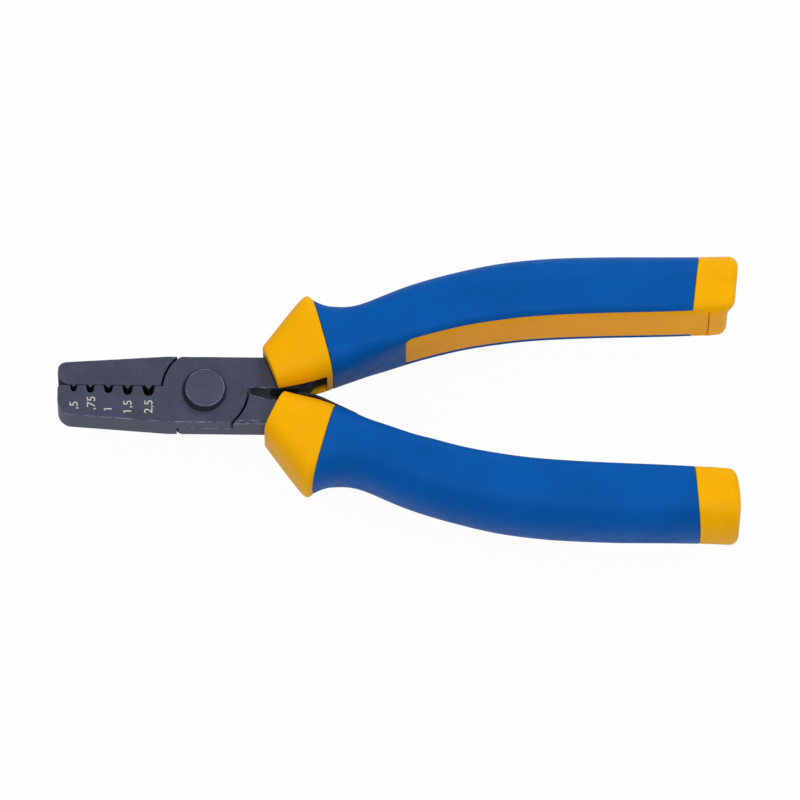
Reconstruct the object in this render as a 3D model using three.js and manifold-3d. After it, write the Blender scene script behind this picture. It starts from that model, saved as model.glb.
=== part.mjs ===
// Crimping pliers for wire end sleeves: two steel levers that cross in a lap joint on a rivet, a leaf
// spring that opens them, and a grip of hard core, soft cover and end cap on each tang.
// Millimetres. The pliers lie flat: X runs from the pivot to the handle ends, Y to the upper handle, Z up
// from the rear of the rivet, whose flat rear head holds the origin. The jaws are closed.

import * as THREE from "three";
import { mergeVertices } from "three/addons/utils/BufferGeometryUtils.js";
import Module from "manifold-3d";

const wasm = await Module();
wasm.setup();

// Joint
const plateThickness = 9; // full thickness of a lever, of which each lap takes half
const jointHalfHeight = 7.27; // joint's flat edges, above and below the pivot axis
const lapRadius = 9; // round end of a lap
const lapCornerRadius = 1.5; // where the lap's round end meets its flat edge
const shoulderGap = 0.4; // between a lap's round end and the other lever's shoulder
const lapGap = 0.2; // between the two laps
const openingLimit = 20; // degrees from closed to fully open

// Jaws
const jawReach = 31.3; // pivot axis to the tips
const tipHalfHeight = 5.7;
const jawTaperEnd = 8; // distance from the pivot where the jaws reach the joint's height
const partingHeight = 0.78; // the jaws meet this far above the pivot axis
const jawGap = 0.2; // between the closed jaws
const lowerTip = { innerRadius: 0.7, outerRadius: 3.1 };
const upperTip = { innerRadius: 2.3, outerRadius: 1.7 };

// Crimping nests, from the pivot outwards, for sleeves of 2.5, 1.5, 1, 0.75 and 0.5 square millimetres
const nests = [
  { width: 2.76, depth: 2.2 },
  { width: 2.3, depth: 2.0 },
  { width: 2.06, depth: 1.65 },
  { width: 1.8, depth: 1.6 },
  { width: 1.5, depth: 1.35 },
];
const firstNestReach = 12; // pivot axis to the middle of the first nest
const nestWeb = 1.9; // steel between two nests
const nestFloorShare = 0.4; // radius of a nest's round floor, as a share of its width
const indenterWidthShare = 0.6; // base of an indenter, as a share of its nest's width
const indenterDepthShare = 0.42; // how far an indenter reaches into its nest
const indenterTipWidth = 0.3;

// Handle roots and tangs
const upperRoot = { atJoint: 0.55, atCollar: 0.45 }; // inner edge of the upper root, above the pivot axis
const lowerRoot = { atJoint: 0.8, atCollar: 2.1 }; // inner edge of the lower root, below the axis
const rootCornerRadius = 1; // between a lap and the root's inner edge
const rebate = { width: 0.4, depth: 1 }; // along the root's outer edge, beside the other lever's lap
const rootLevelStart = 15; // from here to its end the root's inner edge is level
const rootEnd = 20; // full thickness ends here, inside the collar
const tangThickness = 6;
const tangStart = 28; // from here on the tang follows the grip's middle line
const tangHalfHeight = { start: 2.9, end: 2.2 };
const tangEndDistance = 16; // from the tang's end to the grip's end

// Pivot rivet
const shankRadius = 3;
const shankGap = 0.12;
const headBaseRadius = 4.5;
const headFaceRadius = 4.15;
const headHeight = 1.4;
const headChamfer = 0.25;
const headGap = 0.1;

// Leaf spring and its rivet
const leafThickness = 0.5;
const leafWidth = 5;
const leafStart = 13.9;
const leafBend = 22.6; // where the leaf would leave the tang if its bend were sharp
const leafBendLength = 3; // length of the bend, either side of that point
const leafTip = 33.2;
const leafCornerRadius = 0.6;
const leafTipRadius = 1.8;
const leafSeatGap = 0.12;
const leafTipGap = 0.12; // between the free end and the lower grip
const springRivetReach = 16.4;
const springRivetRadius = 0.9;
const springRivetDepth = 2.6; // length in the tang
const springRivetHead = { radius: 1.6, height: 0.5 };
const springRivetGap = 0.12;

// Grip, as seen from above on the upper handle: the edge away from the other handle and the edge next to it
const outerEdge = [
  [21.4, 21.8], [23.3, 20.1], [26.4, 19.05], [29.6, 18.9], [32.8, 19.55], [36, 20.9], [42.4, 23.65],
  [48.8, 25.75], [55.2, 27.45], [61.5, 28.85], [67.9, 29.75], [74.3, 30.3], [83.9, 30.65], [103, 30.9],
  [113, 31.4],
];
const innerEdge = [
  [12, -1], [17, 0.3], [22, 1.3], [26.5, 2.9], [29.6, 4.2], [32.8, 5.4], [36, 6.8], [42.4, 9.55],
  [48.8, 11.5], [55.2, 13.1], [61.5, 14.2], [67.9, 15.05], [74.3, 15.55], [83.9, 16], [103, 16.6],
  [113, 17.2],
];
const gripHalfThickness = [[12.3, 8.3], [18, 9.3], [28, 10], [40, 10.3], [90, 10.3], [113, 10]];
const outerSquareness = [[12.3, 3.4], [20, 3.1], [30, 2.7], [42, 2.5]]; // 2 is an ellipse, more is squarer
const innerSquareness = [[12.3, 4], [24, 3.3], [34, 3.3], [42.4, 8]]; // flat from the strip's start on
const gripLength = 112.5; // pivot axis to the middle of a grip's end, before its trim
const gripEndTrim = {
  upper: { shift: -0.55, lean: 1.55 }, // lean is how far either edge of the end leans back or out
  lower: { shift: 0.75, lean: 0.3 },
};
const gripEndRadius = 2.6;
const collarRear = { inner: 27.2, outer: 22.3 }; // where the soft cover starts, on each edge
const capLength = 8.6; // end cap, measured along the grip's middle
const capLean = 0.7; // how far either edge of the cap's front leans back or out
const coverThickness = 2.4;
const fitGap = 0.3; // between neighbouring pieces of a grip
const lowerGripSetBack = 0.6; // the lower grip sits this much further back on its tang

// Collar's front: upright at the nose, then out to the finger guard and in to the other handle
const collarNose = { reach: 12.1, inner: 8.8, outer: 9.8, radius: 1 };
const collarFlareSlope = 1.38; // of the guard's front
const collarFrontSlope = 2.45; // of the front beside the steel
const collarRounding = 1.4; // at the guard's tip

// Yellow strip that the core shows through the cover's inner side
const stripStart = 42.4;
const stripInCap = 2.9; // the strip reaches this far into the end cap
const stripStartHalfWidth = 8.6;
const stripEndHalfWidth = 9;
const stripCornerRadius = 1.8;
const stripRecess = 0.4;

// Slot in the collar's inner face for the leaf, as wide as the hollow for the handle's root
const slotEnd = 25.8;
const slotCornerRadius = 1.2;

// Spigot that holds the end cap in the core
const spigotLength = 4.9; // ahead of the cap's front
const spigotRoot = 2; // length inside the cap's solid end
const spigotHalfHeight = 3;
const spigotHalfThickness = 4;

// Fineness of the solids
const outerSides = 32; // of a grip
const innerSides = 20; // of a sleeve
const roundSides = 32; // of a full circle
const smallRoundSides = 16; // of a full circle up to the small radius
const smallRadius = 2;
const bendSteps = 8; // of the leaf's bend
const tangStep = 2.5; // between the points of a tang's edge
const gripSteps = { collar: 15, curve: 7, handle: 9 }; // between a grip's sections
const sleeveSteps = 6; // between a sleeve's sections, on either side of the strip's start
const endShares = [0, 0.5, 0.8, 0.95, 0.998]; // places of the sections in a grip's rounded end
const weldDistance = 1e-4; // corners closer than this are one corner
const joinOverlap = 0.2; // of two solids that become one
const reach = 60; // half the size of a cutting block, larger than any piece is thick

const halfThickness = plateThickness / 2;
const headTop = halfThickness + headGap + headHeight;
const tangEnd = gripLength - tangEndDistance;
const capMiddle = gripLength - capLength;
const capFront = { inner: capMiddle - capLean, outer: capMiddle + capLean }; // on each edge
const stripEnd = capMiddle + stripInCap;
const spigotStart = capMiddle - spigotLength;

// Solids from closed geometries, with shared corners merged
function solidOf(geometry) {
  const bare = new THREE.BufferGeometry();
  bare.setAttribute("position", geometry.getAttribute("position"));
  bare.setIndex(geometry.getIndex());
  const merged = mergeVertices(bare, weldDistance);
  const corners = merged.getIndex().array;
  const kept = [];
  for (let i = 0; i < corners.length; i += 3) {
    const [a, b, c] = [corners[i], corners[i + 1], corners[i + 2]];
    if (a !== b && b !== c && c !== a) {
      kept.push(a, b, c);
    }
  }
  const vertProperties = new Float32Array(merged.getAttribute("position").array);
  return new wasm.Manifold(new wasm.Mesh({ numProp: 3, vertProperties, triVerts: new Uint32Array(kept) }));
}

function geometryOf(solid) {
  const { vertProperties, triVerts } = solid.getMesh();
  const geometry = new THREE.BufferGeometry();
  geometry.setAttribute("position", new THREE.BufferAttribute(new Float32Array(vertProperties), 3));
  geometry.setIndex(new THREE.BufferAttribute(new Uint32Array(triVerts), 1));
  geometry.computeVertexNormals();
  return geometry;
}

// An outline in the XY plane, raised from one height to another
function raised(outline, low, high) {
  const settings = { depth: high - low, bevelEnabled: false };
  const geometry = new THREE.ExtrudeGeometry(new THREE.Shape(outline), settings);
  geometry.translate(0, 0, low);
  return solidOf(geometry);
}

// An outline drawn in X and Z, carried along Y from one place to another
function carriedAcross(outline, low, high) {
  const settings = { depth: high - low, bevelEnabled: false };
  const geometry = new THREE.ExtrudeGeometry(new THREE.Shape(outline), settings);
  geometry.rotateX(Math.PI / 2);
  geometry.translate(0, high, 0);
  return solidOf(geometry);
}

function cylinder(radius, low, high) {
  const geometry = new THREE.CylinderGeometry(radius, radius, high - low, roundSides);
  geometry.rotateX(Math.PI / 2);
  geometry.translate(0, 0, (low + high) / 2);
  return solidOf(geometry);
}

// Even places from the first to the last, both among them
function spaced(first, last, steps) {
  return Array.from({ length: steps + 1 }, (unused, i) => first + ((last - first) * i) / steps);
}

// Points on an arc, both ends among them, turning the way from the first angle to the last
function arc(x, y, radius, first, last) {
  const sides = radius > smallRadius ? roundSides : smallRoundSides;
  const steps = Math.max(Math.ceil((Math.abs(last - first) * sides) / (2 * Math.PI) - weldDistance), 1);
  const place = (angle) => new THREE.Vector2(x + radius * Math.cos(angle), y + radius * Math.sin(angle));
  return spaced(first, last, steps).map(place);
}

// Outline through [x, y, radius] corners, each rounded by its radius as far as half its shorter side allows
function rounded(corners) {
  return corners.flatMap(([x, y, radius = 0], i) => {
    const here = new THREE.Vector2(x, y);
    const toward = (step) => {
      const [nextX, nextY] = corners[(i + step + corners.length) % corners.length];
      return new THREE.Vector2(nextX, nextY).sub(here);
    };
    const [before, after] = [toward(-1), toward(1)];
    const room = Math.min(before.length(), after.length()) / 2 - weldDistance;
    before.normalize();
    after.normalize();
    const half = Math.acos(THREE.MathUtils.clamp(before.dot(after), -1, 1)) / 2;
    const run = Math.min(radius / Math.tan(half), room);
    if (run === 0) {
      return [here];
    }
    const start = here.clone().addScaledVector(before, run);
    const centre = before.clone().add(after).normalize().multiplyScalar(run / Math.cos(half)).add(here);
    const first = Math.atan2(start.y - centre.y, start.x - centre.x);
    const sweep = (Math.PI - 2 * half) * Math.sign(after.cross(before));
    return arc(centre.x, centre.y, run * Math.tan(half), first, first + sweep);
  });
}

// Smooth value at x through [x, value] points, without overshoot, and level beyond the first and the last
function along(points, x) {
  const last = points.length - 1;
  if (x <= points[0][0]) {
    return points[0][1];
  }
  if (x >= points[last][0]) {
    return points[last][1];
  }
  const rise = (k) => (points[k + 1][1] - points[k][1]) / (points[k + 1][0] - points[k][0]);
  const slope = (k) => {
    const [before, after] = [rise(Math.max(k - 1, 0)), rise(Math.min(k, last - 1))];
    return before * after > 0 ? (2 * before * after) / (before + after) : 0;
  };
  const i = points.findIndex((point, k) => x < points[k + 1][0]);
  const width = points[i + 1][0] - points[i][0];
  const t = (x - points[i][0]) / width;
  const bend = width * t * (1 - t) * (slope(i) * (1 - t) - slope(i + 1) * t);
  return points[i][1] + (points[i + 1][1] - points[i][1]) * t * t * (3 - 2 * t) + bend;
}

// Lower of two values, rounded where they cross
function softLower(a, b, rounding) {
  return (a + b - Math.hypot(a - b, rounding)) / 2;
}

// Grip's edges and half thickness at x, with the guard's front and the rounded end
function gripAt(x, trim) {
  const flare = collarNose.outer + (x - collarNose.reach) * collarFlareSlope;
  const end = gripLength + trim.shift;
  const intoEnd = Math.max(x - (end - gripEndRadius), 0);
  const endInset = gripEndRadius - Math.sqrt(Math.max(gripEndRadius ** 2 - intoEnd ** 2, 0));
  return {
    outer: softLower(flare, along(outerEdge, x), collarRounding) - endInset,
    inner: along(innerEdge, x) + endInset,
    halfThickness: along(gripHalfThickness, x) - endInset,
    squareness: { outer: along(outerSquareness, x), inner: along(innerSquareness, x) },
    lean: along([[capFront.outer, 0], [end, trim.lean]], x),
  };
}

function gripMiddle(x) {
  return (along(outerEdge, x) + along(innerEdge, x)) / 2;
}

// Loft along X through the grip's sections, drawn in by an inset
function gripLoft(stations, sides, inset, trim) {
  const positions = [];
  const index = [];
  stations.forEach((x) => {
    const at = gripAt(x, trim);
    const middle = (at.outer + at.inner) / 2;
    const halfHeight = (at.outer - at.inner) / 2 - inset;
    for (let k = 0; k < sides; k += 1) {
      const angle = (2 * Math.PI * k) / sides;
      const [c, s] = [Math.cos(angle), Math.sin(angle)];
      const power = 2 / (c > 0 ? at.squareness.outer : at.squareness.inner);
      const across = Math.sign(c) * Math.abs(c) ** power;
      const z = (at.halfThickness - inset) * Math.sign(s) * Math.abs(s) ** power;
      positions.push(x + at.lean * across, middle + halfHeight * across, z);
    }
  });
  const ringStart = (ring) => ring * sides;
  for (let ring = 0; ring + 1 < stations.length; ring += 1) {
    for (let k = 0; k < sides; k += 1) {
      const next = (k + 1) % sides;
      const [a, b] = [ringStart(ring) + k, ringStart(ring) + next];
      const [c, d] = [ringStart(ring + 1) + k, ringStart(ring + 1) + next];
      index.push(a, b, c, b, d, c);
    }
  }
  const lastRing = ringStart(stations.length - 1);
  for (let k = 1; k + 1 < sides; k += 1) {
    index.push(0, k + 1, k);
    index.push(lastRing, lastRing + k, lastRing + k + 1);
  }
  const geometry = new THREE.BufferGeometry();
  geometry.setAttribute("position", new THREE.Float32BufferAttribute(positions, 3));
  geometry.setIndex(index);
  return solidOf(geometry);
}

// Everything in front of the line that crosses the grip's inner and outer edge at two places
function aheadOf(line, shift) {
  const [innerY, outerY] = [along(innerEdge, line.inner), along(outerEdge, line.outer)];
  const lean = (line.outer - line.inner) / (outerY - innerY);
  const xAt = (y) => line.inner + shift + (y - innerY) * lean;
  const corners = [[-reach, -reach], [xAt(-reach), -reach], [xAt(reach), reach], [-reach, reach]];
  return raised(rounded(corners), -reach, reach);
}

// Everything in front of the collar's nose and of its front beside the steel
function aheadOfCollar() {
  const nose = [collarNose.reach, collarNose.inner, collarNose.radius];
  const frontFoot = [collarNose.reach + (collarNose.inner + reach) / collarFrontSlope, -reach];
  const corners = [nose, [collarNose.reach, reach], [-reach, reach], [-reach, -reach], frontFoot];
  return raised(rounded(corners), -reach, reach);
}

function nestReach(number) {
  let distance = firstNestReach;
  for (let i = 1; i <= number; i += 1) {
    distance += nests[i - 1].width / 2 + nestWeb + nests[i].width / 2;
  }
  return distance;
}

// U-shaped groove, open at the parting line, seen along Z
function nestOutline({ width, depth }) {
  const floorRadius = width * nestFloorShare;
  return [
    new THREE.Vector2(-width / 2, depth),
    new THREE.Vector2(-width / 2, 0),
    ...arc(0, floorRadius - depth, floorRadius, Math.PI, 2 * Math.PI),
    new THREE.Vector2(width / 2, 0),
    new THREE.Vector2(width / 2, depth),
  ];
}

// V-shaped indenter, pointing up from a base that is sunk into the jaw
function indenterOutline({ width, depth }) {
  const halfBase = (width * indenterWidthShare) / 2;
  const height = depth * indenterDepthShare;
  return rounded([
    [-halfBase, -depth],
    [halfBase, -depth],
    [halfBase, 0],
    [indenterTipWidth / 2, height],
    [-indenterTipWidth / 2, height],
    [-halfBase, 0],
  ]);
}

// Outer and inner edge of a handle's root and tang, from the lap to the tang's end, as on the upper handle
function tangEdges(root) {
  const inside = (x) => x > tangStart + tangStep && x < tangEnd - tangStep;
  const bends = outerEdge.map(([x]) => x).filter(inside);
  const follow = [tangStart, ...bends, tangEnd];
  const halfHeights = [[tangStart, tangHalfHeight.start], [tangEnd, tangHalfHeight.end]];
  const tail = (side) => follow.map((x) => [x, gripMiddle(x) + side * along(halfHeights, x)]);
  const rootCorner = [rootEnd, root.atCollar];
  return {
    outer: [[lapRadius, jointHalfHeight], [rootLevelStart, jointHalfHeight], ...tail(1)],
    inner: [[lapRadius, root.atJoint], [rootLevelStart, root.atCollar], rootCorner, ...tail(-1)],
  };
}

// Outline between a tang's edges from one place to another, grown by a gap
function tangOutline(edges, start, end, grow) {
  const places = spaced(start, end, Math.ceil((end - start) / tangStep));
  const lower = places.map((x) => new THREE.Vector2(x, along(edges.inner, x) - grow));
  const upper = places.map((x) => new THREE.Vector2(x, along(edges.outer, x) + grow)).reverse();
  return [...lower, ...upper];
}

// Root and tang, grown by a gap on every side and moved forward for a grip that is set back
function tangSolid(root, start, grow, forward) {
  const edges = tangEdges(root);
  const stretch = (from, to, half) => {
    const outline = tangOutline(edges, from, to + grow, grow);
    const moved = outline.map(({ x, y }) => new THREE.Vector2(x - forward, y));
    return raised(moved, -half - grow, half + grow);
  };
  const rootStretch = stretch(start, rootEnd, halfThickness);
  return rootStretch.add(stretch(rootEnd - joinOverlap, tangEnd, tangThickness / 2));
}

// Round-ended plate of one lap, with its outer corner rounded
function lapPlate() {
  const edgeAngle = Math.asin(jointHalfHeight / lapRadius);
  const cornerY = jointHalfHeight - lapCornerRadius;
  const cornerX = -Math.sqrt((lapRadius - lapCornerRadius) ** 2 - cornerY ** 2);
  const cornerAngle = Math.atan2(cornerY, cornerX);
  const outline = [
    ...arc(0, 0, lapRadius, edgeAngle, -edgeAngle),
    ...arc(0, 0, lapRadius, edgeAngle - Math.PI, cornerAngle - 2 * Math.PI).slice(0, -1),
    ...arc(cornerX, cornerY, lapCornerRadius, cornerAngle, Math.PI / 2),
  ];
  return raised(outline, lapGap / 2, halfThickness);
}

// Block that joins a lap to the handle's root, with the rounded corner below the root's inner edge
function rootBlock(root) {
  const cornerY = root.atJoint - rootCornerRadius;
  const cornerX = Math.sqrt((lapRadius + rootCornerRadius) ** 2 - cornerY ** 2);
  const outline = [
    new THREE.Vector2(0, jointHalfHeight),
    new THREE.Vector2(0, cornerY),
    ...arc(cornerX, cornerY, rootCornerRadius, Math.PI, Math.PI / 2),
    new THREE.Vector2(cornerX, jointHalfHeight),
  ];
  return raised(outline, -halfThickness, halfThickness);
}

// A lever as it lies in the front half: its jaw below the axis and its handle above
function leverSolid(jawEdge, tip, root) {
  const jaw = raised(
    rounded([
      [0, jawEdge],
      [-jawReach, jawEdge, tip.innerRadius],
      [-jawReach, -tipHalfHeight, tip.outerRadius],
      [-jawTaperEnd, -jointHalfHeight],
      [0, -jointHalfHeight],
    ]),
    -halfThickness,
    halfThickness,
  );
  const shoulder = cylinder(lapRadius + shoulderGap, -reach, lapGap / 2);
  const bore = cylinder(shankRadius + shankGap, -reach, reach);
  const rebateCorners = [[0, jointHalfHeight - rebate.width], [rootEnd, jointHalfHeight - rebate.width]];
  const rebateCut = raised(
    rounded([...rebateCorners, [rootEnd, reach], [0, reach]]),
    -reach,
    rebate.depth - halfThickness,
  );
  return jaw
    .add(rootBlock(root))
    .add(tangSolid(root, lapRadius, 0, 0))
    .subtract(shoulder)
    .subtract(rebateCut)
    .add(lapPlate())
    .subtract(bore);
}

// Outline of one nest or indenter, moved to its place on the jaw's edge
function onJaw(outline, number, jawEdge) {
  return outline.map(({ x, y }) => new THREE.Vector2(x - nestReach(number), y + jawEdge));
}

function lowerJawLever() {
  const jawEdge = partingHeight - jawGap / 2;
  let lever = leverSolid(jawEdge, lowerTip, upperRoot);
  nests.forEach((nest, number) => {
    lever = lever.subtract(raised(onJaw(nestOutline(nest), number, jawEdge), -reach, reach));
  });
  const boreFloor = upperRoot.atCollar + springRivetDepth + springRivetGap;
  return lever.subtract(springRivetColumn(springRivetRadius + springRivetGap, -jointHalfHeight, boreFloor));
}

function upperJawLever() {
  const jawEdge = -partingHeight - jawGap / 2;
  let lever = leverSolid(jawEdge, upperTip, lowerRoot);
  nests.forEach((nest, number) => {
    lever = lever.add(raised(onJaw(indenterOutline(nest), number, jawEdge), -halfThickness, halfThickness));
  });
  return lever;
}

function pivotRivet() {
  const underHead = headTop - headHeight;
  const half = [
    [shankRadius, underHead],
    [headBaseRadius, underHead],
    [headFaceRadius, headTop - headChamfer],
    [headFaceRadius - headChamfer, headTop],
    [0, headTop],
  ];
  const mirrored = half.map(([radius, height]) => [radius, -height]).reverse();
  const profile = [...mirrored, ...half].map(([radius, height]) => new THREE.Vector2(radius, height));
  const geometry = new THREE.LatheGeometry(profile, roundSides);
  geometry.rotateX(Math.PI / 2);
  return solidOf(geometry);
}

// Upright round bar on the axis of the spring's rivet, from one Y to another
function springRivetColumn(radius, low, high) {
  const geometry = new THREE.CylinderGeometry(radius, radius, high - low, smallRoundSides);
  geometry.translate(springRivetReach, (low + high) / 2, 0);
  return solidOf(geometry);
}

// Height of the leaf's middle where it lies against the tang
function leafSeatHeight() {
  return upperRoot.atCollar - leafSeatGap - leafThickness / 2;
}

// Leaf spring: flat against the tang, bent once, and straight to the lower grip
function openingSpring() {
  const seat = new THREE.Vector2(leafStart, leafSeatHeight());
  const bend = new THREE.Vector2(leafBend, leafSeatHeight());
  const restingHeight = -along(innerEdge, leafTip - lowerGripSetBack);
  const tip = new THREE.Vector2(leafTip, restingHeight + leafTipGap + leafThickness / 2);
  const outward = new THREE.Vector2().subVectors(tip, bend).normalize();
  const bendEnd = bend.clone().addScaledVector(outward, leafBendLength);
  const bendStart = new THREE.Vector2(leafBend - leafBendLength, bend.y);
  const curve = new THREE.QuadraticBezierCurve(bendStart, bend, bendEnd);
  const path = [seat, ...curve.getPoints(bendSteps), tip];
  const across = path.map((point, i) => {
    const before = path[Math.max(i - 1, 0)];
    const after = path[Math.min(i + 1, path.length - 1)];
    const direction = new THREE.Vector2().subVectors(after, before).normalize();
    return new THREE.Vector2(-direction.y, direction.x).multiplyScalar(leafThickness / 2);
  });
  const above = path.map((point, i) => point.clone().add(across[i]));
  const below = path.map((point, i) => point.clone().sub(across[i])).reverse();
  const half = leafWidth / 2;
  const strip = raised([...above, ...below], -half, half);
  const plan = rounded([
    [leafStart, -half, leafCornerRadius],
    [leafTip, -half, leafTipRadius],
    [leafTip, half, leafTipRadius],
    [leafStart, half, leafCornerRadius],
  ]);
  const trimmed = strip.intersect(carriedAcross(plan, -reach, reach));
  return trimmed.subtract(springRivetColumn(springRivetRadius + springRivetGap, -reach, reach));
}

function springRivet() {
  const underLeaf = leafSeatHeight() - leafThickness / 2 - leafSeatGap;
  const head = springRivetColumn(springRivetHead.radius, underLeaf - springRivetHead.height, underLeaf);
  const end = upperRoot.atCollar + springRivetDepth;
  return head.add(springRivetColumn(springRivetRadius, underLeaf - joinOverlap, end));
}

// Places of the grip's sections: close in the collar and the rounded end, wide in between
function gripStations(trim) {
  const collar = spaced(collarNose.reach, collarRear.inner + fitGap, gripSteps.collar);
  const curve = spaced(collarRear.inner + fitGap, stripStart, gripSteps.curve).slice(1);
  const handle = spaced(stripStart, capFront.inner, gripSteps.handle).slice(1);
  const end = endShares.map((share) => gripLength + trim.shift + gripEndRadius * (share - 1));
  return [...collar, ...curve, ...handle, ...end];
}

// Places of the sleeve's sections, from inside the collar to inside the cap
function sleeveStations() {
  const front = spaced(rootEnd, stripStart, sleeveSteps);
  return [...front, ...spaced(stripStart, stripEnd, sleeveSteps).slice(1)];
}

// Window of the yellow strip, grown by a gap, reaching from the grip's inner side into the core's sleeve
function stripWindow(grow) {
  const [startHalf, endHalf] = [stripStartHalfWidth + grow, stripEndHalfWidth + grow];
  const plan = rounded([
    [stripStart - grow, -startHalf, stripCornerRadius],
    [stripEnd + grow, -endHalf, stripCornerRadius],
    [stripEnd + grow, endHalf, stripCornerRadius],
    [stripStart - grow, startHalf, stripCornerRadius],
  ]);
  const sleeveFloor = along(innerEdge, stripEnd) + coverThickness;
  const sleeveRoof = along(outerEdge, stripStart) - coverThickness;
  return carriedAcross(plan, 0, (sleeveFloor + sleeveRoof) / 2);
}

// Slot from the collar's inner face into the tang's hollow
function collarSlot(root) {
  const half = halfThickness + fitGap;
  const plan = rounded([
    [collarNose.reach, -half],
    [slotEnd, -half, slotCornerRadius],
    [slotEnd, half, slotCornerRadius],
    [collarNose.reach, half],
  ]);
  return carriedAcross(plan, -reach, along(tangEdges(root).inner, slotEnd));
}

function spigot(grow, end) {
  const geometry = new THREE.BoxGeometry(
    end - spigotStart + grow,
    2 * (spigotHalfHeight + grow),
    2 * (spigotHalfThickness + grow),
  );
  geometry.translate((end + spigotStart - grow) / 2, gripMiddle(spigotStart), 0);
  return solidOf(geometry);
}

// The three mouldings of a grip, in the place of the upper handle's
function gripSolids(root, setBack, trim) {
  const stations = gripStations(trim);
  const body = gripLoft(stations, outerSides, 0, trim);
  const window = stripWindow(0);
  const wideWindow = stripWindow(fitGap);

  const collar = body.intersect(aheadOf(collarRear, 0)).subtract(aheadOfCollar());
  const sleeveLoft = gripLoft(sleeveStations(), innerSides, coverThickness, trim);
  const sleeve = sleeveLoft.intersect(aheadOf(capFront, -fitGap));
  const strip = gripLoft(stations, outerSides, stripRecess, trim).intersect(window);
  const core = collar
    .add(sleeve)
    .add(strip)
    .subtract(tangSolid(root, 0, fitGap, setBack))
    .subtract(collarSlot(root))
    .subtract(spigot(fitGap, stripEnd));

  const hollowStations = [collarNose.reach, ...sleeveStations()];
  const cover = body
    .intersect(aheadOf(capFront, 0))
    .subtract(aheadOf(collarRear, fitGap))
    .subtract(gripLoft(hollowStations, innerSides, coverThickness - fitGap, trim))
    .subtract(wideWindow);

  const cap = body
    .subtract(aheadOf(capFront, fitGap))
    .subtract(wideWindow)
    .add(spigot(0, capFront.outer + spigotRoot));
  return { core, cover, cap };
}

const steel = { color: 0x4a4d5e, roughness: 0.45, metalness: 0.85 };
const springSteel = { color: 0x3a3d48, roughness: 0.4, metalness: 0.9 };
const hardYellow = { color: 0xf3b10c, roughness: 0.5, metalness: 0 };
const softBlue = { color: 0x0054a0, roughness: 0.65, metalness: 0 };

function piece(name, solid, finish) {
  const mesh = new THREE.Mesh(geometryOf(solid), new THREE.MeshStandardMaterial(finish));
  mesh.name = name;
  return mesh;
}

function grip(prefix, root, setBack) {
  const { core, cover, cap } = gripSolids(root, setBack, gripEndTrim[prefix]);
  const group = new THREE.Group();
  group.position.x = setBack;
  group.add(
    piece(`${prefix}_grip_core`, core, hardYellow),
    piece(`${prefix}_grip_cover`, cover, softBlue),
    piece(`${prefix}_end_cap`, cap, hardYellow),
  );
  return group;
}

// Front half: lower jaw and upper handle
const frontHalf = new THREE.Group();
frontHalf.add(
  piece("lower_jaw_lever", lowerJawLever(), steel),
  piece("pivot_rivet", pivotRivet(), steel),
  piece("opening_spring", openingSpring(), springSteel),
  piece("spring_rivet", springRivet(), springSteel),
  grip("upper", upperRoot, 0),
);

// Rear half: upper jaw and lower handle, made like the front half and turned over about X
const rearHalf = new THREE.Group();
rearHalf.rotation.x = Math.PI;
rearHalf.add(piece("upper_jaw_lever", upperJawLever(), steel), grip("lower", lowerRoot, lowerGripSetBack));

const pliers = new THREE.Group();
pliers.position.z = headTop;
pliers.add(frontHalf, rearHalf);
pliers.userData = { openingLimit };

export default pliers;
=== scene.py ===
"""Crimping pliers for wire end sleeves, dressed for a render.

Two burnished steel levers cross in a lap joint on a rivet. A leaf spring opens them. Each tang carries a grip of a hard
yellow core, a soft blue cover and a yellow end cap. Metres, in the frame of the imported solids: X runs from the pivot to
the handle ends, Y to the upper handle and Z up, out of the front of the joint. The sizes listed at the top are
in millimetres.
"""

import math

import bmesh
import bpy
import numpy as np
from mathutils import Matrix, Vector


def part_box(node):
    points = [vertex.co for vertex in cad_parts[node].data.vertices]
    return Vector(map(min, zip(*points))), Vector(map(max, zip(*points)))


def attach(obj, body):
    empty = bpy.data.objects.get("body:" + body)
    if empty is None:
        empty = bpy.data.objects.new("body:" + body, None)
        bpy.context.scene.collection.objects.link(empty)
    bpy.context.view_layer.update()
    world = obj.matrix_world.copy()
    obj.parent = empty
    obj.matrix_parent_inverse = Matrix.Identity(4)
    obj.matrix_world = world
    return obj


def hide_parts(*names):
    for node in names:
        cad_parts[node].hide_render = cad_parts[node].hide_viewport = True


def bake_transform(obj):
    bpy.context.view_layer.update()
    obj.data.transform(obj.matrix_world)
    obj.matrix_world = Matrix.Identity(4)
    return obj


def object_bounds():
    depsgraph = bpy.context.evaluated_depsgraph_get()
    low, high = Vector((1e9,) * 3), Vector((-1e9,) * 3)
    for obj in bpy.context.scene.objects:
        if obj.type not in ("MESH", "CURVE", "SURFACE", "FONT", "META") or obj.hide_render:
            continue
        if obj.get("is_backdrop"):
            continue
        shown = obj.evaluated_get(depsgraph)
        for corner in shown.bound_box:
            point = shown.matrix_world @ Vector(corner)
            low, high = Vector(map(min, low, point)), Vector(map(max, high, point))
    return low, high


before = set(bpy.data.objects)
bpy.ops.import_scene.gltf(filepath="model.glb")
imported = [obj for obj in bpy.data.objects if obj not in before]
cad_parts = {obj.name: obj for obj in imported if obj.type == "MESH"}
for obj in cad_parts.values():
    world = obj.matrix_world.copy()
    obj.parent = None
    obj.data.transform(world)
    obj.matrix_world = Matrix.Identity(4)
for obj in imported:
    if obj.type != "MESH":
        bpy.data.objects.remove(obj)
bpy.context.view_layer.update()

bl_info = {
    "name": "Sleeve crimping pliers",
    "version": (1, 0, 0),
    "blender": (4, 5, 0),
    "location": "3D View > Sidebar > Pliers",
    "description": "Builds the levers, rivets, leaf spring, grips and size marks of a pair of crimping pliers",
    "category": "Add Mesh",
}

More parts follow.
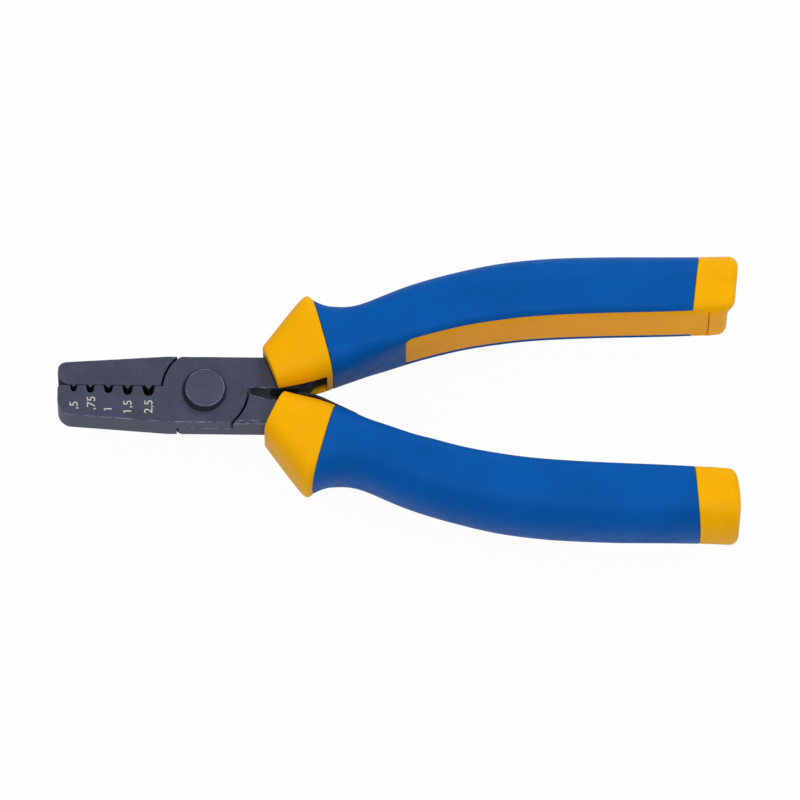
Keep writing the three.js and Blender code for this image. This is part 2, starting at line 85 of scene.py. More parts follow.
MM = 0.001
JOINT_LEVEL = (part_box("pivot_rivet")[0].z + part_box("pivot_rivet")[1].z) / 2
FACE_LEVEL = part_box("lower_jaw_lever")[1].z

# The upper grip's edges in X and Y, as seen from above: away from the other handle, and next to it
OUTER_EDGE = [
    (21.4, 21.8), (23.3, 20.1), (26.4, 19.05), (29.6, 18.9), (32.8, 19.55), (36, 20.9), (42.4, 23.65), (48.8, 25.75),
    (55.2, 27.45), (61.5, 28.85), (67.9, 29.75), (74.3, 30.3), (83.9, 30.65), (103, 30.9), (113, 31.25),
]
INNER_EDGE = [
    (12, -1), (17, 0.3), (22, 1.3), (26.5, 2.9), (29.6, 4.2), (32.8, 5.4), (36, 6.8), (42.4, 9.55), (48.8, 11.5),
    (55.2, 13.1), (61.5, 14.2), (67.9, 15.05), (74.3, 15.55), (83.9, 16), (103, 16.6), (113, 17.2),
]
# Half the grips' thickness, and how square their section is on its outer and inner side, as X and value
HALF_THICKNESS = [(12.3, 8.3), (18, 9.3), (28, 10), (40, 10.3), (90, 10.3), (113, 10)]
OUTER_SQUARENESS = [(12.3, 3.4), (20, 3.1), (30, 2.7), (42, 2.5)]
INNER_SQUARENESS = [(12.3, 4), (24, 3.3), (33, 3.3), (42.4, 7)]
# How far to either side a place's edges are averaged
EASING_REACH = 1.6
# The collars: the nose where the flare meets the slanted front, both slopes, and the line where a collar ends
NOSE = {"reach": 12.1, "inner": 8.8, "outer": 9.8, "radius": 1}
FLARE_SLOPE = 1.38
FRONT_SLOPE = {"upper": 2.45, "lower": 2.02}
FLARE_ROUNDING = 1.4
COLLAR_REAR = {"inner": 27.2, "outer": 22.3}
CAP_FRONT = {"inner": 103.2, "outer": 104.6}
# Each grip's end at its middle, and how far it leans, steps back at the inner flank and bows
GRIP_END = {
    "upper": {"middle": 112.55, "lean": 0.4, "step": 1.4, "bow": 0},
    "lower": {"middle": 112.95, "lean": 0.3, "step": 0, "bow": 0.45},
}
# How far the real lower grip's edges lie inside the upper one's
LOWER_TRIM = {"outer": [(88, 0), (106, 0.3)], "inner": [(30, 0), (36, 0.25), (42, 0.25), (48, 0)]}
# Where the upper grip's end steps back: this far along the step's direction, in Y and Z, from the middle
STEP_PLACE, STEP_SOFTNESS, STEP_DIRECTION, STEP_REACH = -4, 0.95, (0.956, 0.292), (107.4, 110.4)
STRIP_START, STRIP_END = 42.4, 106.9
STRIP_HALF_WIDTHS = [(STRIP_START, 8.6), (STRIP_END, 9)]
STRIP_CORNER = 1.8
# A collar's hollow for the lever's root, its slot for the leaf, and the painted shade that shows inside them
HOLLOW = {"inner": {"upper": 0.45, "lower": 2.1}, "outer": 7.65, "end": 22, "half": 4.75, "overlap": 0.3}
SLOT = {"outer": 6.4, "step": 21, "end": 25.8, "half": 4.8}
HOLLOW_SHADE = {"half": 5.1, "outer": 8.2, "depth": 1.1, "fade": 0.9}
# The arc between the lower collar's front and its inner edge, and that edge's place and slope there
COLLAR_CORNER = {"radius": 1.5, "x": 16.2, "slope": 0.27}
# Wall of the caps and strips, and the distance between a cap's rows of faces
HARD_WALL = 1.2
CAP_ROW_STEP = 0.5
# Columns of faces round a cover or cap, outside the strip's window and across it
OUTER_COLUMNS, INNER_COLUMNS = 92, 24
# Y of each jaw's face before the parting is closed to a hairline
PARTING = {"lower_jaw_lever": 0.68, "upper_jaw_lever": 0.88}
LAP_RADIUS = 9
# The stretch of Y in which the rear lap's round end reaches into its gap at the root
GROWN_LAP = (-0.6, 3)
NEST_REACH = 2.6
SHOULDER_GAP, SHOULDER_REACH = 0.4, 0.45
# The gap between the levers' roots, where the steel takes painted shade: where it starts, and its Y on both sides
ROOT_GAP = {"start": 8.4, "low": -2, "high": 2.6}
# How far ahead of its collar a lever takes a painted shadow
COLLAR_SHADOW_REACH = 0.3
# The rivets' radii, the heights of their heads and steps, and their edges
RIVET = {"shank": 3, "face": 4.15, "head": 1.4, "step": 0.35, "edge": 0.1}
SPRING_RIVET = {"shank": 0.9, "head": 0.5, "rounding": 0.3, "flat": 0.2}
# The leaf spring's line in X and Y, the roundings at its ends, and how far the collar shades it
LEAF = {
    "start": 13.9, "bend": 22.6, "bend_length": 3, "seat": 0.08, "corner": 0.6, "tip_corner": 1.8, "easing": 0.12,
    "in_shade": 18,
}


def length_property(title, text, millimetres):
    return bpy.props.FloatProperty(
        name=title, description=text, default=millimetres * MM, unit="LENGTH", precision=5)


def colour_property(title, text, value):
    return bpy.props.FloatVectorProperty(
        name=title, description=text, default=value, size=3, subtype="COLOR", min=0, max=1)


class PliersLeverSizes(bpy.types.PropertyGroup):
    """Sizes of the steel's finish"""

    bevel: length_property("Edge", "Width of the levers' broken edges", 0.18)
    nest_bevel: length_property("Nest edge", "Width of the broken edges of the nests", 0.03)
    closing: length_property("Closing", "How far each jaw's face comes towards the other's", 0.07)
    lap_growth: length_property("Lap growth", "How far the rear lap reaches into its gap at the root", 0.28)
    head_round: length_property("Head rounding", "Rounding of the pivot rivet heads' rims", 0.22)
    leaf_thickness: length_property("Leaf thickness", "Thickness of the leaf spring", 0.5)
    leaf_width: length_property("Leaf width", "Width of the leaf spring", 5)


class PliersGripSizes(bpy.types.PropertyGroup):
    """Sizes of the grips"""

    row_step: length_property("Row step", "Distance between the rows of faces along a grip", 0.7)
    wall: length_property("Wall", "Wall of the soft covers", 1.6)
    lip: length_property("Lip", "Rounding where a cover or cap ends", 0.22)
    seam: length_property("Seam", "Half the gap between neighbouring mouldings", 0.02)
    recess: length_property("Strip recess", "How far the yellow strip lies below the cover", 0.4)
    end_round: length_property("End rounding", "Rounding of the caps' ends", 2.1)
    set_back: length_property("Set back", "How much further back the lower grip sits", 0.6)
    voxel: length_property("Collar facet", "Size of the collars' facets", 0.17)


class PliersMarkSizes(bpy.types.PropertyGroup):
    """Sizes of the marks beside the nests"""

    height: length_property("Height", "Height of the figures", 1.85)
    proud: length_property("Proud", "How far the paint stands proud", 0.02)


class PliersColours(bpy.types.PropertyGroup):
    """Base colours, scene linear"""

    steel: colour_property("Steel", "Burnished steel of the levers", (0.0635, 0.0695, 0.1065))
    rivet: colour_property("Rivet", "Rivet heads", (0.069, 0.076, 0.116))
    leaf: colour_property("Leaf", "Blued spring steel", (0.034, 0.038, 0.054))
    yellow: colour_property("Yellow", "Hard moulded plastic", (0.885, 0.42, 0.0))
    blue: colour_property("Blue", "Soft-touch cover", (0.0, 0.088, 0.37))
    marks: colour_property("Marks", "Paint in the size marks", (0.62, 0.62, 0.52))


# Node trees

def feed(tree, inputs, values):
    """Sets inputs of a node by name or number: a socket is linked to its input and a plain value is set."""
    for key, value in values.items():
        if isinstance(value, bpy.types.NodeSocket):
            tree.links.new(value, inputs[key])
        else:
            inputs[key].default_value = value


def add(tree, kind, inputs=None, **settings):
    """Outputs of a new node with its inputs and settings."""
    node = tree.nodes.new(kind)
    for name, value in settings.items():
        setattr(node, name, value)
    feed(tree, node.inputs, inputs or {})
    return node.outputs


def maths(tree, operation, a, b):
    return add(tree, "ShaderNodeMath", {0: a, 1: b}, operation=operation)[0]


# Materials

def new_material(name, colour, roughness, specular, metallic=0.0):
    """A material's node tree, its shader's inputs and a position in object space, ready for its detail."""
    material = bpy.data.materials.new(name)
    material.use_nodes = True
    tree = material.node_tree
    shader = tree.nodes["Principled BSDF"].inputs
    feed(tree, shader, {
        "Base Color": (*colour, 1), "Roughness": roughness, "Metallic": metallic, "Specular IOR Level": specular})
    return tree, shader, add(tree, "ShaderNodeTexCoord")["Object"]


def noise(tree, place, size, detail):
    """Noise whose features are about as large as size, in metres."""
    inputs = {"Vector": place, "Scale": 1 / size, "Detail": detail, "Roughness": 0.6}
    return add(tree, "ShaderNodeTexNoise", inputs)["Fac"]


def ramp(tree, source, *stops):
    """Source carried through two stops of position and colour or grey value."""
    node = tree.nodes.new("ShaderNodeValToRGB")
    for element, (position, value) in zip(node.color_ramp.elements, stops):
        element.position = position
        element.color = (*value, 1) if hasattr(value, "__len__") else (value, value, value, 1)
    tree.links.new(source, node.inputs["Fac"])
    return node.outputs["Color"]


def shade(colour, factor):
    return tuple(min(channel * factor, 1) for channel in colour)


def bump(tree, *heights):
    """Normal from a chain of bumps, from the coarsest to the finest, of source, strength and depth in metres."""
    chain = {}
    for source, strength, depth in heights:
        inputs = {"Strength": strength, "Distance": depth, "Height": source, **chain}
        chain = {"Normal": add(tree, "ShaderNodeBump", inputs)["Normal"]}
    return chain["Normal"]


def mixed_colours(tree, share, under, over, blend="MIX"):
    """Colour over, a socket or a plain colour, laid on the socket under by a share."""
    node = tree.nodes.new("ShaderNodeMix")
    node.data_type, node.blend_type = "RGBA", blend
    if not isinstance(over, bpy.types.NodeSocket):
        over = (*over, 1)
    sockets = {socket.identifier: socket for socket in node.inputs}
    feed(tree, sockets, {"Factor_Float": share, "A_Color": under, "B_Color": over})
    return next(socket for socket in node.outputs if socket.identifier == "Result_Color")


def painted_share(tree, attribute, cover):
    """Share at which a finish shows: an attribute of the mesh times a cover in shades of grey."""
    return maths(tree, "MULTIPLY", add(tree, "ShaderNodeAttribute", attribute_name=attribute)["Fac"], cover)


def shadow_round_the_rivet(tree, place):
    """Share of a painted shadow in a ring round the pivot rivet's head, its middle set 0.16 mm towards -X and -Y so
    that it is wider there: full to 4.62 mm from that middle, gone at 4.9 mm.
    """
    offset = add(tree, "ShaderNodeVectorMath", {0: place, 1: (-0.16 * MM, -0.16 * MM, 0)}, operation="SUBTRACT")
    level = add(tree, "ShaderNodeVectorMath", {0: offset["Vector"], 1: (100, 100, 0)}, operation="MULTIPLY")
    distance = add(tree, "ShaderNodeVectorMath", {0: level["Vector"]}, operation="LENGTH")
    return ramp(tree, distance["Value"], (0.462, 0.95), (0.49, 0.0))


def burnished_steel(name, colour, roughness, rub_and_glint, shade_painted=False):
    """Dark burnished steel: cloudy oxide, a fine blasted grain, edges rubbed lighter, which also paints a highlight on
    them, painted shade in recesses and, when asked, a painted shadow round the pivot rivet.
    """
    specular, metallic = 0.06, 0.15
    tree, shader, place = new_material(name, colour, roughness, specular, metallic)
    clouds = noise(tree, place, 6 * MM, 5)
    tint = ramp(tree, clouds, (0.3, shade(colour, 0.86)), (0.7, shade(colour, 1.14)))
    grain = noise(tree, place, 0.22 * MM, 3)
    mottled = mixed_colours(tree, 1, tint, ramp(tree, grain, (0.3, 0.84), (0.7, 1.16)), "MULTIPLY")
    # Lighter edges in patches: rubbed wear, and also a painted highlight along them
    rub_and_glint_patches = ramp(tree, noise(tree, place, 2.2 * MM, 4), (0.44, 0.05), (0.58, 1.0))
    rubbed_and_glinting = mixed_colours(tree, painted_share(tree, "edge", rub_and_glint_patches), mottled, shade(colour, rub_and_glint))
    # Painted shade where the mesh asks for it, and, when asked, the painted shadow round the pivot rivet
    shade_share = painted_share(tree, "painted_shade", ramp(tree, clouds, (0.2, 0.88), (0.8, 1.0)))
    if shade_painted:
        shade_share = maths(tree, "MAXIMUM", shade_share, shadow_round_the_rivet(tree, place))
    feed(tree, shader, {
        # In painted shade the colour darkens to a third and the reflection goes
        "Base Color": mixed_colours(tree, shade_share, rubbed_and_glinting, shade(colour, 0.32)),
        "Roughness": ramp(tree, clouds, (0.3, roughness - 0.05), (0.7, roughness + 0.07)),
        "Specular IOR Level": ramp(tree, shade_share, (0.0, specular), (1.0, 0.0)),
        "Specular Tint": (0.72, 0.82, 1, 1),
        "Metallic": ramp(tree, shade_share, (0.0, metallic), (1.0, 0.0)),
        "Normal": bump(tree, (clouds, 0.12, 0.05 * MM), (grain, 0.25, 0.02 * MM)),
    })


def hard_plastic(name, colour):
    """Satin moulded plastic: faint flow marks, fine spark-eroded grain, scuffs in the gloss and painted shade in
    hollows.
    """
    tree, shader, place = new_material(name, colour, 0.42, 0.045)
    flow = noise(tree, place, 9 * MM, 4)
    tint = ramp(tree, flow, (0.3, shade(colour, 0.94)), (0.7, shade(colour, 1.04)))
    # Painted shade deep in the collars' hollows
    shade_painted = painted_share(tree, "painted_shade", ramp(tree, flow, (0.2, 0.9), (0.8, 1.0)))
    grain = noise(tree, place, 0.16 * MM, 2)
    feed(tree, shader, {
        "Base Color": mixed_colours(tree, shade_painted, tint, shade(colour, 0.03)),
        "Roughness": ramp(tree, noise(tree, place, 1.8 * MM, 6), (0.3, 0.4), (0.7, 0.52)),
        "Normal": bump(tree, (flow, 0.08, 0.05 * MM), (grain, 0.16, 0.012 * MM)),
    })


def soft_cover(name, colour):
    """Soft-touch elastomer: dull, fine-grained, with a faint bloom and patches smoothed by rubbing."""
    tree, shader, place = new_material(name, colour, 0.48, 0.05)
    bloom = noise(tree, place, 14 * MM, 4)
    grain = noise(tree, place, 0.2 * MM, 3)
    feed(tree, shader, {
        "Base Color": ramp(tree, bloom, (0.3, shade(colour, 0.9)), (0.72, shade(colour, 1.1))),
        "Roughness": ramp(tree, noise(tree, place, 3 * MM, 5), (0.3, 0.44), (0.7, 0.58)),
        "Normal": bump(tree, (bloom, 0.06, 0.06 * MM), (grain, 0.3, 0.015 * MM)),
    })


def mark_paint(name, colour):
    """Cream filling paint, a little dusty and thinned by wear in places."""
    tree, shader, place = new_material(name, colour, 0.6, 0.3)
    wear = noise(tree, place, 0.5 * MM, 4)
    feed(tree, shader, {
        "Base Color": ramp(tree, wear, (0.25, shade(colour, 0.7)), (0.6, colour)),
        "Normal": bump(tree, (wear, 0.2, 0.01 * MM)),
    })


def pliers_material(name):
    """One of the object's finishes, made the first time that it is asked for."""
    finish = f"{name}_finish"
    if finish not in bpy.data.materials:
        colours = bpy.context.scene.pliers_colours
        make, *values = {
            # The levers' steel also takes the painted shadow round the pivot rivet
            "burnished_steel": (burnished_steel, colours.steel, 0.46, 3.2, True),
            "rivet_steel": (burnished_steel, colours.rivet, 0.44, 3.2),
            "spring_steel": (burnished_steel, colours.leaf, 0.36, 2.6),
            "hard_yellow": (hard_plastic, colours.yellow),
            "soft_blue": (soft_cover, colours.blue),
            "mark_paint": (mark_paint, colours.marks),
        }[name]
        make(finish, *values)
    return bpy.data.materials[finish]


# Meshes

def in_scene(name, data):
    holder = bpy.data.objects.new(name, data)
    bpy.context.scene.collection.objects.link(holder)
    return holder


def new_piece(name, mesh, slot, body, replaced=(), material=None):
    """A finished piece at the origin that rides on its body."""
    mesh.name = name
    mesh.materials.clear()
    mesh.materials.append(pliers_material(material or slot))
    piece = in_scene(name, mesh)
    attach(piece, body)
    if replaced:
        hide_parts(*replaced)


def taken_from(holder):
    """Plain mesh of an object with its modifiers applied, after which the object goes."""
    evaluated = holder.evaluated_get(bpy.context.evaluated_depsgraph_get())
    result = bpy.data.meshes.new_from_object(evaluated)
    bpy.data.objects.remove(holder)
    return result


def finished_mesh(mesh, *modifiers):
    """Mesh with modifiers applied, given as pairs of type and settings."""
    holder = in_scene("work", mesh)
    for kind, settings in modifiers:
        modifier = holder.modifiers.new(kind.lower(), kind)
        for key, value in settings.items():
            setattr(modifier, key, value)
    return taken_from(holder)


def mesh_of(positions, faces, edges=()):
    mesh = bpy.data.meshes.new("work")
    mesh.from_pydata([tuple(p) for p in positions], edges, faces)
    mesh.update()
    return mesh


def faces_outward(mesh):
    """Turns a closed mesh's faces outward and merges its doubled corners."""
    edited = bmesh.new()
    edited.from_mesh(mesh)
    bmesh.ops.remove_doubles(edited, verts=edited.verts, dist=0.0005 * MM)
    bmesh.ops.recalc_face_normals(edited, faces=edited.faces)
    edited.to_mesh(mesh)
    edited.free()
    return mesh


def quads(ring, sides, count):
    """The first count faces between a ring of points and the next one."""
    pairs = [(ring * sides + k, ring * sides + (k + 1) % sides) for k in range(count)]
    return [(a, b, b + sides, a + sides) for a, b in pairs]


def closed_rings(positions, sides):
    """Closed solid over points that lie in rings."""
    faces = [face for ring in range(len(positions) // sides - 1) for face in quads(ring, sides, sides)]
    faces += [tuple(reversed(range(sides))), tuple(range(len(positions) - sides, len(positions)))]
    return faces_outward(mesh_of(positions, faces))


def smooth_shading(mesh, degrees):
    """Smooth shading that breaks at edges sharper than an angle."""
    mesh.polygons.foreach_set("use_smooth", [True] * len(mesh.polygons))
    mesh.set_sharp_from_angle(angle=math.radians(degrees))
    return mesh


def flat_faced(mesh, degrees):
    """Smooth shading in which the large faces stay flat and their broken edges turn."""
    return finished_mesh(smooth_shading(mesh, degrees), ("WEIGHTED_NORMAL", {"weight": 100, "keep_sharp": True}))


def solid_copy(node, cut_place, cut_normal):
    """A node's mesh with shared corners merged, its flat faces made whole and its faces cut along a plane."""
    edited = bmesh.new()
    edited.from_mesh(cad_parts[node].data)
    bmesh.ops.remove_doubles(edited, verts=edited.verts, dist=0.002 * MM)
    bmesh.ops.dissolve_limit(edited, angle_limit=math.radians(0.4), verts=edited.verts, edges=edited.edges)
    geometry = [*edited.verts, *edited.edges, *edited.faces]
    bmesh.ops.bisect_plane(edited, geom=geometry, plane_co=cut_place, plane_no=cut_normal)
    mesh = bpy.data.meshes.new(node)
    edited.to_mesh(mesh)
    edited.free()
    return mesh


def mark_faces(mesh, name, share_of):
    """Face corner attribute whose value is given by a face's middle in millimetres and its normal."""
    values = []
    for face in mesh.polygons:
        values += [float(share_of(face.center / MM, face.normal))] * face.loop_total
    mesh.attributes.new(name, "FLOAT", "CORNER").data.foreach_set("value", values)


def slanting(middle, normal):
    """True on the broken edges between level and upright faces."""
    return 0.15 < abs(normal.z) < 0.985


def front_line(y):
    """X at which a collar's slanted front stands over a height above the pivot axis, in millimetres."""
    return NOSE["reach"] + max(NOSE["inner"] - abs(y), 0) / FRONT_SLOPE["upper" if y > 0 else "lower"]


def in_nests(p):
    return p.x < -LAP_RADIUS and abs(p.y) < NEST_REACH


def at_shoulder(p):
    """True close to the middle of the gap between a lap's round end and the other lever's shoulder."""
    return abs(math.hypot(p.x, p.y) - LAP_RADIUS - SHOULDER_GAP / 2) < SHOULDER_REACH


def lever_shade(middle, normal):
    """How much painted shade a face takes, from 0 to 1: under the grips, in the gap between the roots, nests,
    shoulders.
    """
    if middle.x > front_line(middle.y) + 0.6:
        return 1
    if abs(normal.z) > 0.6:
        return 0
    if middle.x > ROOT_GAP["start"] and ROOT_GAP["low"] < middle.y < ROOT_GAP["high"]:
        return 0.6
    turned_round = at_shoulder(middle) and abs(normal.x) > 0.4 and abs(normal.xy @ middle.xy) > 0.7 * LAP_RADIUS
    return 1 if in_nests(middle) or turned_round and abs(middle.y) < 6.6 else 0


def lever_mesh(node):
    """The lever's solid with broken edges, finer at nests and shoulders, and its jaw brought close to the other."""
    levers, set_back = bpy.context.scene.pliers_levers, bpy.context.scene.pliers_grips.set_back / MM
    toward, prefix, behind = (1, "upper", 0) if node == "lower_jaw_lever" else (-1, "lower", set_back)
    # The faces are cut a little ahead of the collar's front, so that the painted shadow on the lever starts there
    ahead = Vector((NOSE["reach"] + behind - COLLAR_SHADOW_REACH, toward * NOSE["inner"], 0)) * MM
    mesh = solid_copy(node, ahead, Vector((1, toward / FRONT_SLOPE[prefix], 0)).normalized())
    for vertex in mesh.vertices:
        p = vertex.co
        if abs(p.y - PARTING[node] * MM) < 0.03 * MM and p.x < -LAP_RADIUS * MM:
            p.y += toward * levers.closing
        on_rear_lap = node == "upper_jaw_lever" and p.z < JOINT_LEVEL and p.x > 0
        if on_rear_lap and GROWN_LAP[0] * MM < p.y < GROWN_LAP[1] * MM:
            if abs(math.hypot(p.x, p.y) - LAP_RADIUS * MM) < 0.15 * MM:
                p.xy *= 1 + levers.lap_growth / (LAP_RADIUS * MM)
    weights = mesh.attributes.new("bevel_weight_edge", "FLOAT", "EDGE")
    for edge in mesh.edges:
        fine = any(all(near(mesh.vertices[i].co / MM) for i in edge.vertices) for near in (in_nests, at_shoulder))
        weights.data[edge.index].value = levers.nest_bevel / levers.bevel if fine else 1
    mesh = finished_mesh(mesh, ("BEVEL", {
        "width": levers.bevel, "segments": 3, "limit_method": "ANGLE", "angle_limit": math.radians(35),
        "use_clamp_overlap": False, "miter_outer": "MITER_ARC"}))
    # Lighter broken edges, rubbed wear and a painted highlight, but not in the nests and shoulder grooves
    mark_faces(mesh, "edge", lambda middle, normal: slanting(middle, normal)
               and not in_nests(middle) and not at_shoulder(middle))
    # Painted shade under the grips and from a little ahead of each collar, in the gap between the roots, in the nests
    # and shoulder grooves
    mark_faces(mesh, "painted_shade", lever_shade)
    return flat_faced(mesh, 35)


class PLIERS_OT_levers(bpy.types.Operator):
    """Finish both steel levers with broken edges"""

    bl_idname = "pliers.levers"
    bl_label = "Levers"

    def execute(self, context):
        for name, node, body in (
            ("lower_jaw_and_upper_tang", "lower_jaw_lever", "front_half"),
            ("upper_jaw_and_lower_tang", "upper_jaw_lever", "rear_half"),
        ):
            new_piece(name, lever_mesh(node), "burnished_steel", body, [node])
        return {"FINISHED"}


# Rivets

def turned(profile, centre, axis, sides):
    """Closed solid turned from a profile of radius and height about an axis, 'Z' or 'Y', through a centre."""
    positions = []
    for radius, height in profile:
        for k in range(sides):
            angle = 2 * math.pi * k / sides
            x, y = radius * math.cos(angle), radius * math.sin(angle)
            positions.append(Vector((x, y, height) if axis == "Z" else (x, height, -y)) * MM + centre)
    return closed_rings(positions, sides)


def rounded_rim(radius, top, rounding):
    """Profile points of a head's rounded rim, from its side to its flat top."""
    angles = [math.pi / 2 * k / 5 for k in range(6)]
    return [(radius - rounding * (1 - math.cos(a)), top - rounding * (1 - math.sin(a))) for a in angles]


class PLIERS_OT_rivets(bpy.types.Operator):
    """Turn the pivot rivet and the small rivet that holds the leaf spring"""

    bl_idname = "pliers.rivets"
    bl_label = "Rivets"

    def execute(self, context):
        rounding = context.scene.pliers_levers.head_round / MM
        low, high = (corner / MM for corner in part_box("pivot_rivet"))
        base, half_length = (high.x - low.x) / 2, (high.z - low.z) / 2
        shank, face, edge = RIVET["shank"], RIVET["face"], RIVET["edge"]
        under = half_length - RIVET["head"]
        step = under + RIVET["step"]
        half = [(shank, under), (base, under), (base, step - edge), (base - edge, step), (face, step + edge)]
        half += rounded_rim(face, half_length, rounding)
        mesh = turned([(r, -h) for r, h in reversed(half)] + half, Vector((0, 0, JOINT_LEVEL)), "Z", 96)
        rim = half_length - rounding
        from_joint = lambda middle: abs(middle.z - JOINT_LEVEL / MM)
        # Lighter rim, rubbed wear and a painted highlight; painted shade on the flank and step under it
        mark_faces(mesh, "edge", lambda middle, normal: slanting(middle, normal) and from_joint(middle) > rim)
        mark_faces(mesh, "painted_shade", lambda middle, normal: from_joint(middle) < rim)
        new_piece("pivot_rivet_turned", smooth_shading(mesh, 40), "rivet_steel", "front_half", ["pivot_rivet"])

        low, high = (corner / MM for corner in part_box("spring_rivet"))
        head, shank, under = (high.x - low.x) / 2, SPRING_RIVET["shank"], low.y + SPRING_RIVET["head"]
        rim = [(r, -h) for r, h in reversed(rounded_rim(head, -low.y, SPRING_RIVET["rounding"]))]
        profile = [(SPRING_RIVET["flat"], low.y), *rim, (head, under), (shank, under), (shank, high.y)]
        mesh = turned(profile, Vector(((low.x + high.x) / 2 * MM, 0, JOINT_LEVEL)), "Y", 48)
        # Lighter broken edges: rubbed wear and a painted highlight
        mark_faces(mesh, "edge", slanting)
        new_piece("spring_rivet_turned", smooth_shading(mesh, 40), "spring_steel", "front_half", ["spring_rivet"])
        return {"FINISHED"}


# Leaf spring

def new_tree(name, inputs, output):
    """Geometry node tree with named inputs and one output: the tree, its inputs' sockets and their identifiers."""
    tree = bpy.data.node_groups.new(name, "GeometryNodeTree")
    identifiers = {
        title: tree.interface.new_socket(title, in_out="INPUT", socket_type=f"NodeSocket{kind}").identifier
        for title, kind in inputs.items()
    }
    tree.interface.new_socket(output, in_out="OUTPUT", socket_type="NodeSocketGeometry")
    return tree, add(tree, "NodeGroupInput"), identifiers


def finish_tree(tree, geometry, material):
    """Ends a tree: instances made real and the material set."""
    whole = add(tree, "GeometryNodeRealizeInstances", {"Geometry": geometry})["Geometry"]
    painted = add(tree, "GeometryNodeSetMaterial", {"Geometry": whole, "Material": material})["Geometry"]
    add(tree, "NodeGroupOutput", {0: painted})


def leaf_tree(material):
    """Node tree that sweeps an eased flat section along a line, narrowed by the line's share at each place."""
    floats = dict.fromkeys(("Width", "Thickness", "Easing", "Level"), "Float")
    tree, source, inputs = new_tree("Leaf spring", {"Line": "Geometry", **floats}, "Leaf")
    section = add(tree, "GeometryNodeCurvePrimitiveQuadrilateral", {
        "Width": source["Thickness"], "Height": source["Width"]})["Curve"]
    eased = add(tree, "GeometryNodeFilletCurve", {
        "Curve": section, "Radius": source["Easing"], "Count": 4}, mode="POLY")["Curve"]
    line = add(tree, "GeometryNodeMeshToCurve", {"Mesh": source["Line"]})["Curve"]
    upright = add(tree, "GeometryNodeSetCurveNormal", {"Curve": line}, mode="Z_UP")["Curve"]
    swept = add(tree, "GeometryNodeCurveToMesh", {
        "Curve": upright, "Profile Curve": eased, "Fill Caps": True})["Mesh"]
    share = add(tree, "GeometryNodeInputNamedAttribute", {"Name": "share"}, data_type="FLOAT")["Attribute"]
    place = add(tree, "ShaderNodeSeparateXYZ", {"Vector": add(tree, "GeometryNodeInputPosition")["Position"]})
    height = maths(tree, "MULTIPLY", maths(tree, "SUBTRACT", place["Z"], source["Level"]), share)
    narrowed = add(tree, "ShaderNodeCombineXYZ", {
        "X": place["X"], "Y": place["Y"], "Z": maths(tree, "ADD", height, source["Level"])})["Vector"]
    shaped = add(tree, "GeometryNodeSetPosition", {"Geometry": swept, "Position": narrowed})["Geometry"]
    finish_tree(tree, shaped, material)
    return tree, inputs


def made_by_tree(mesh, tree, values):
    """Plain mesh that a node tree makes of a mesh, with the tree's inputs set by their sockets' identifiers."""
    holder = in_scene("work", mesh)
    modifier = holder.modifiers.new("tree", "NODES")
    modifier.node_group = tree
    for identifier, value in values.items():
        modifier[identifier] = value
    return taken_from(holder)


def leaf_line():
    """Middle line of the leaf spring in millimetres: flat against the tang, bent once and straight to its tip."""
    seat = np.array([LEAF["start"], LEAF["seat"]])
    bend = np.array([LEAF["bend"], LEAF["seat"]])
    low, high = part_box("opening_spring")
    tip = np.array([high.x / MM, low.y / MM + bpy.context.scene.pliers_levers.leaf_thickness / MM / 2])
    outward = (tip - bend) / np.linalg.norm(tip - bend)
    bent_from, bent_to = bend - [LEAF["bend_length"], 0], bend + outward * LEAF["bend_length"]
    turn = np.linspace(0, 1, 17)[:, None]
    curve = (1 - turn) ** 2 * bent_from + 2 * turn * (1 - turn) * bend + turn ** 2 * bent_to
    start_easing = [1 - math.cos(math.pi / 2 * k / 6) for k in range(7)]
    from_start = [seat + np.array([LEAF["corner"] * share, 0]) for share in start_easing]
    to_tip = [tip - outward * LEAF["tip_corner"] * share for share in reversed(start_easing)]
    straight = [bent_to + (to_tip[0] - bent_to) * k / 6 for k in range(1, 6)]
    return np.array([*from_start, *curve, *straight, *to_tip])


def narrowing(line):
    """Share of the leaf's full width at each point of its line: its corners are rounded."""
    half = bpy.context.scene.pliers_levers.leaf_width / MM / 2
    length = np.concatenate([[0], np.cumsum(np.linalg.norm(np.diff(line, axis=0), axis=1))])
    share = np.ones(len(line))
    for distance, corner in ((length, LEAF["corner"]), (length[-1] - length, LEAF["tip_corner"])):
        inside = np.clip(corner - distance, 0, corner)
        share -= (corner - np.sqrt(corner ** 2 - inside ** 2)) / half
    return share


class PLIERS_OT_leaf(bpy.types.Operator):
    """Bend the leaf spring along its line"""

    bl_idname = "pliers.leaf"
    bl_label = "Leaf spring"

    def execute(self, context):
        levers = context.scene.pliers_levers
        line = leaf_line()
        edges = [(k, k + 1) for k in range(len(line) - 1)]
        mesh = mesh_of([(x * MM, y * MM, JOINT_LEVEL) for x, y in line], [], edges)
        mesh.attributes.new("share", "FLOAT", "POINT").data.foreach_set("value", narrowing(line))
        tree, inputs = leaf_tree(pliers_material("spring_steel"))
        leaf = made_by_tree(mesh, tree, {
            inputs["Width"]: levers.leaf_width,
            inputs["Thickness"]: levers.leaf_thickness,
            inputs["Easing"]: LEAF["easing"] * MM,
            inputs["Level"]: JOINT_LEVEL,
        })
        faces_outward(leaf)
        # Lighter edges, rubbed wear and a painted highlight, beyond the collar's shade; painted shade on the leaf
        # within it
        mark_faces(leaf, "edge", lambda middle, normal: slanting(middle, normal) and middle.x > LEAF["in_shade"])
        mark_faces(leaf, "painted_shade", lambda middle, normal: middle.x < LEAF["in_shade"])
        leaf.name = "opening_leaf"
        piece = in_scene("opening_leaf", smooth_shading(leaf, 35))
        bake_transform(piece)
        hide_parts("opening_spring")
        return {"FINISHED"}


# Grips, in millimetres until their meshes are made

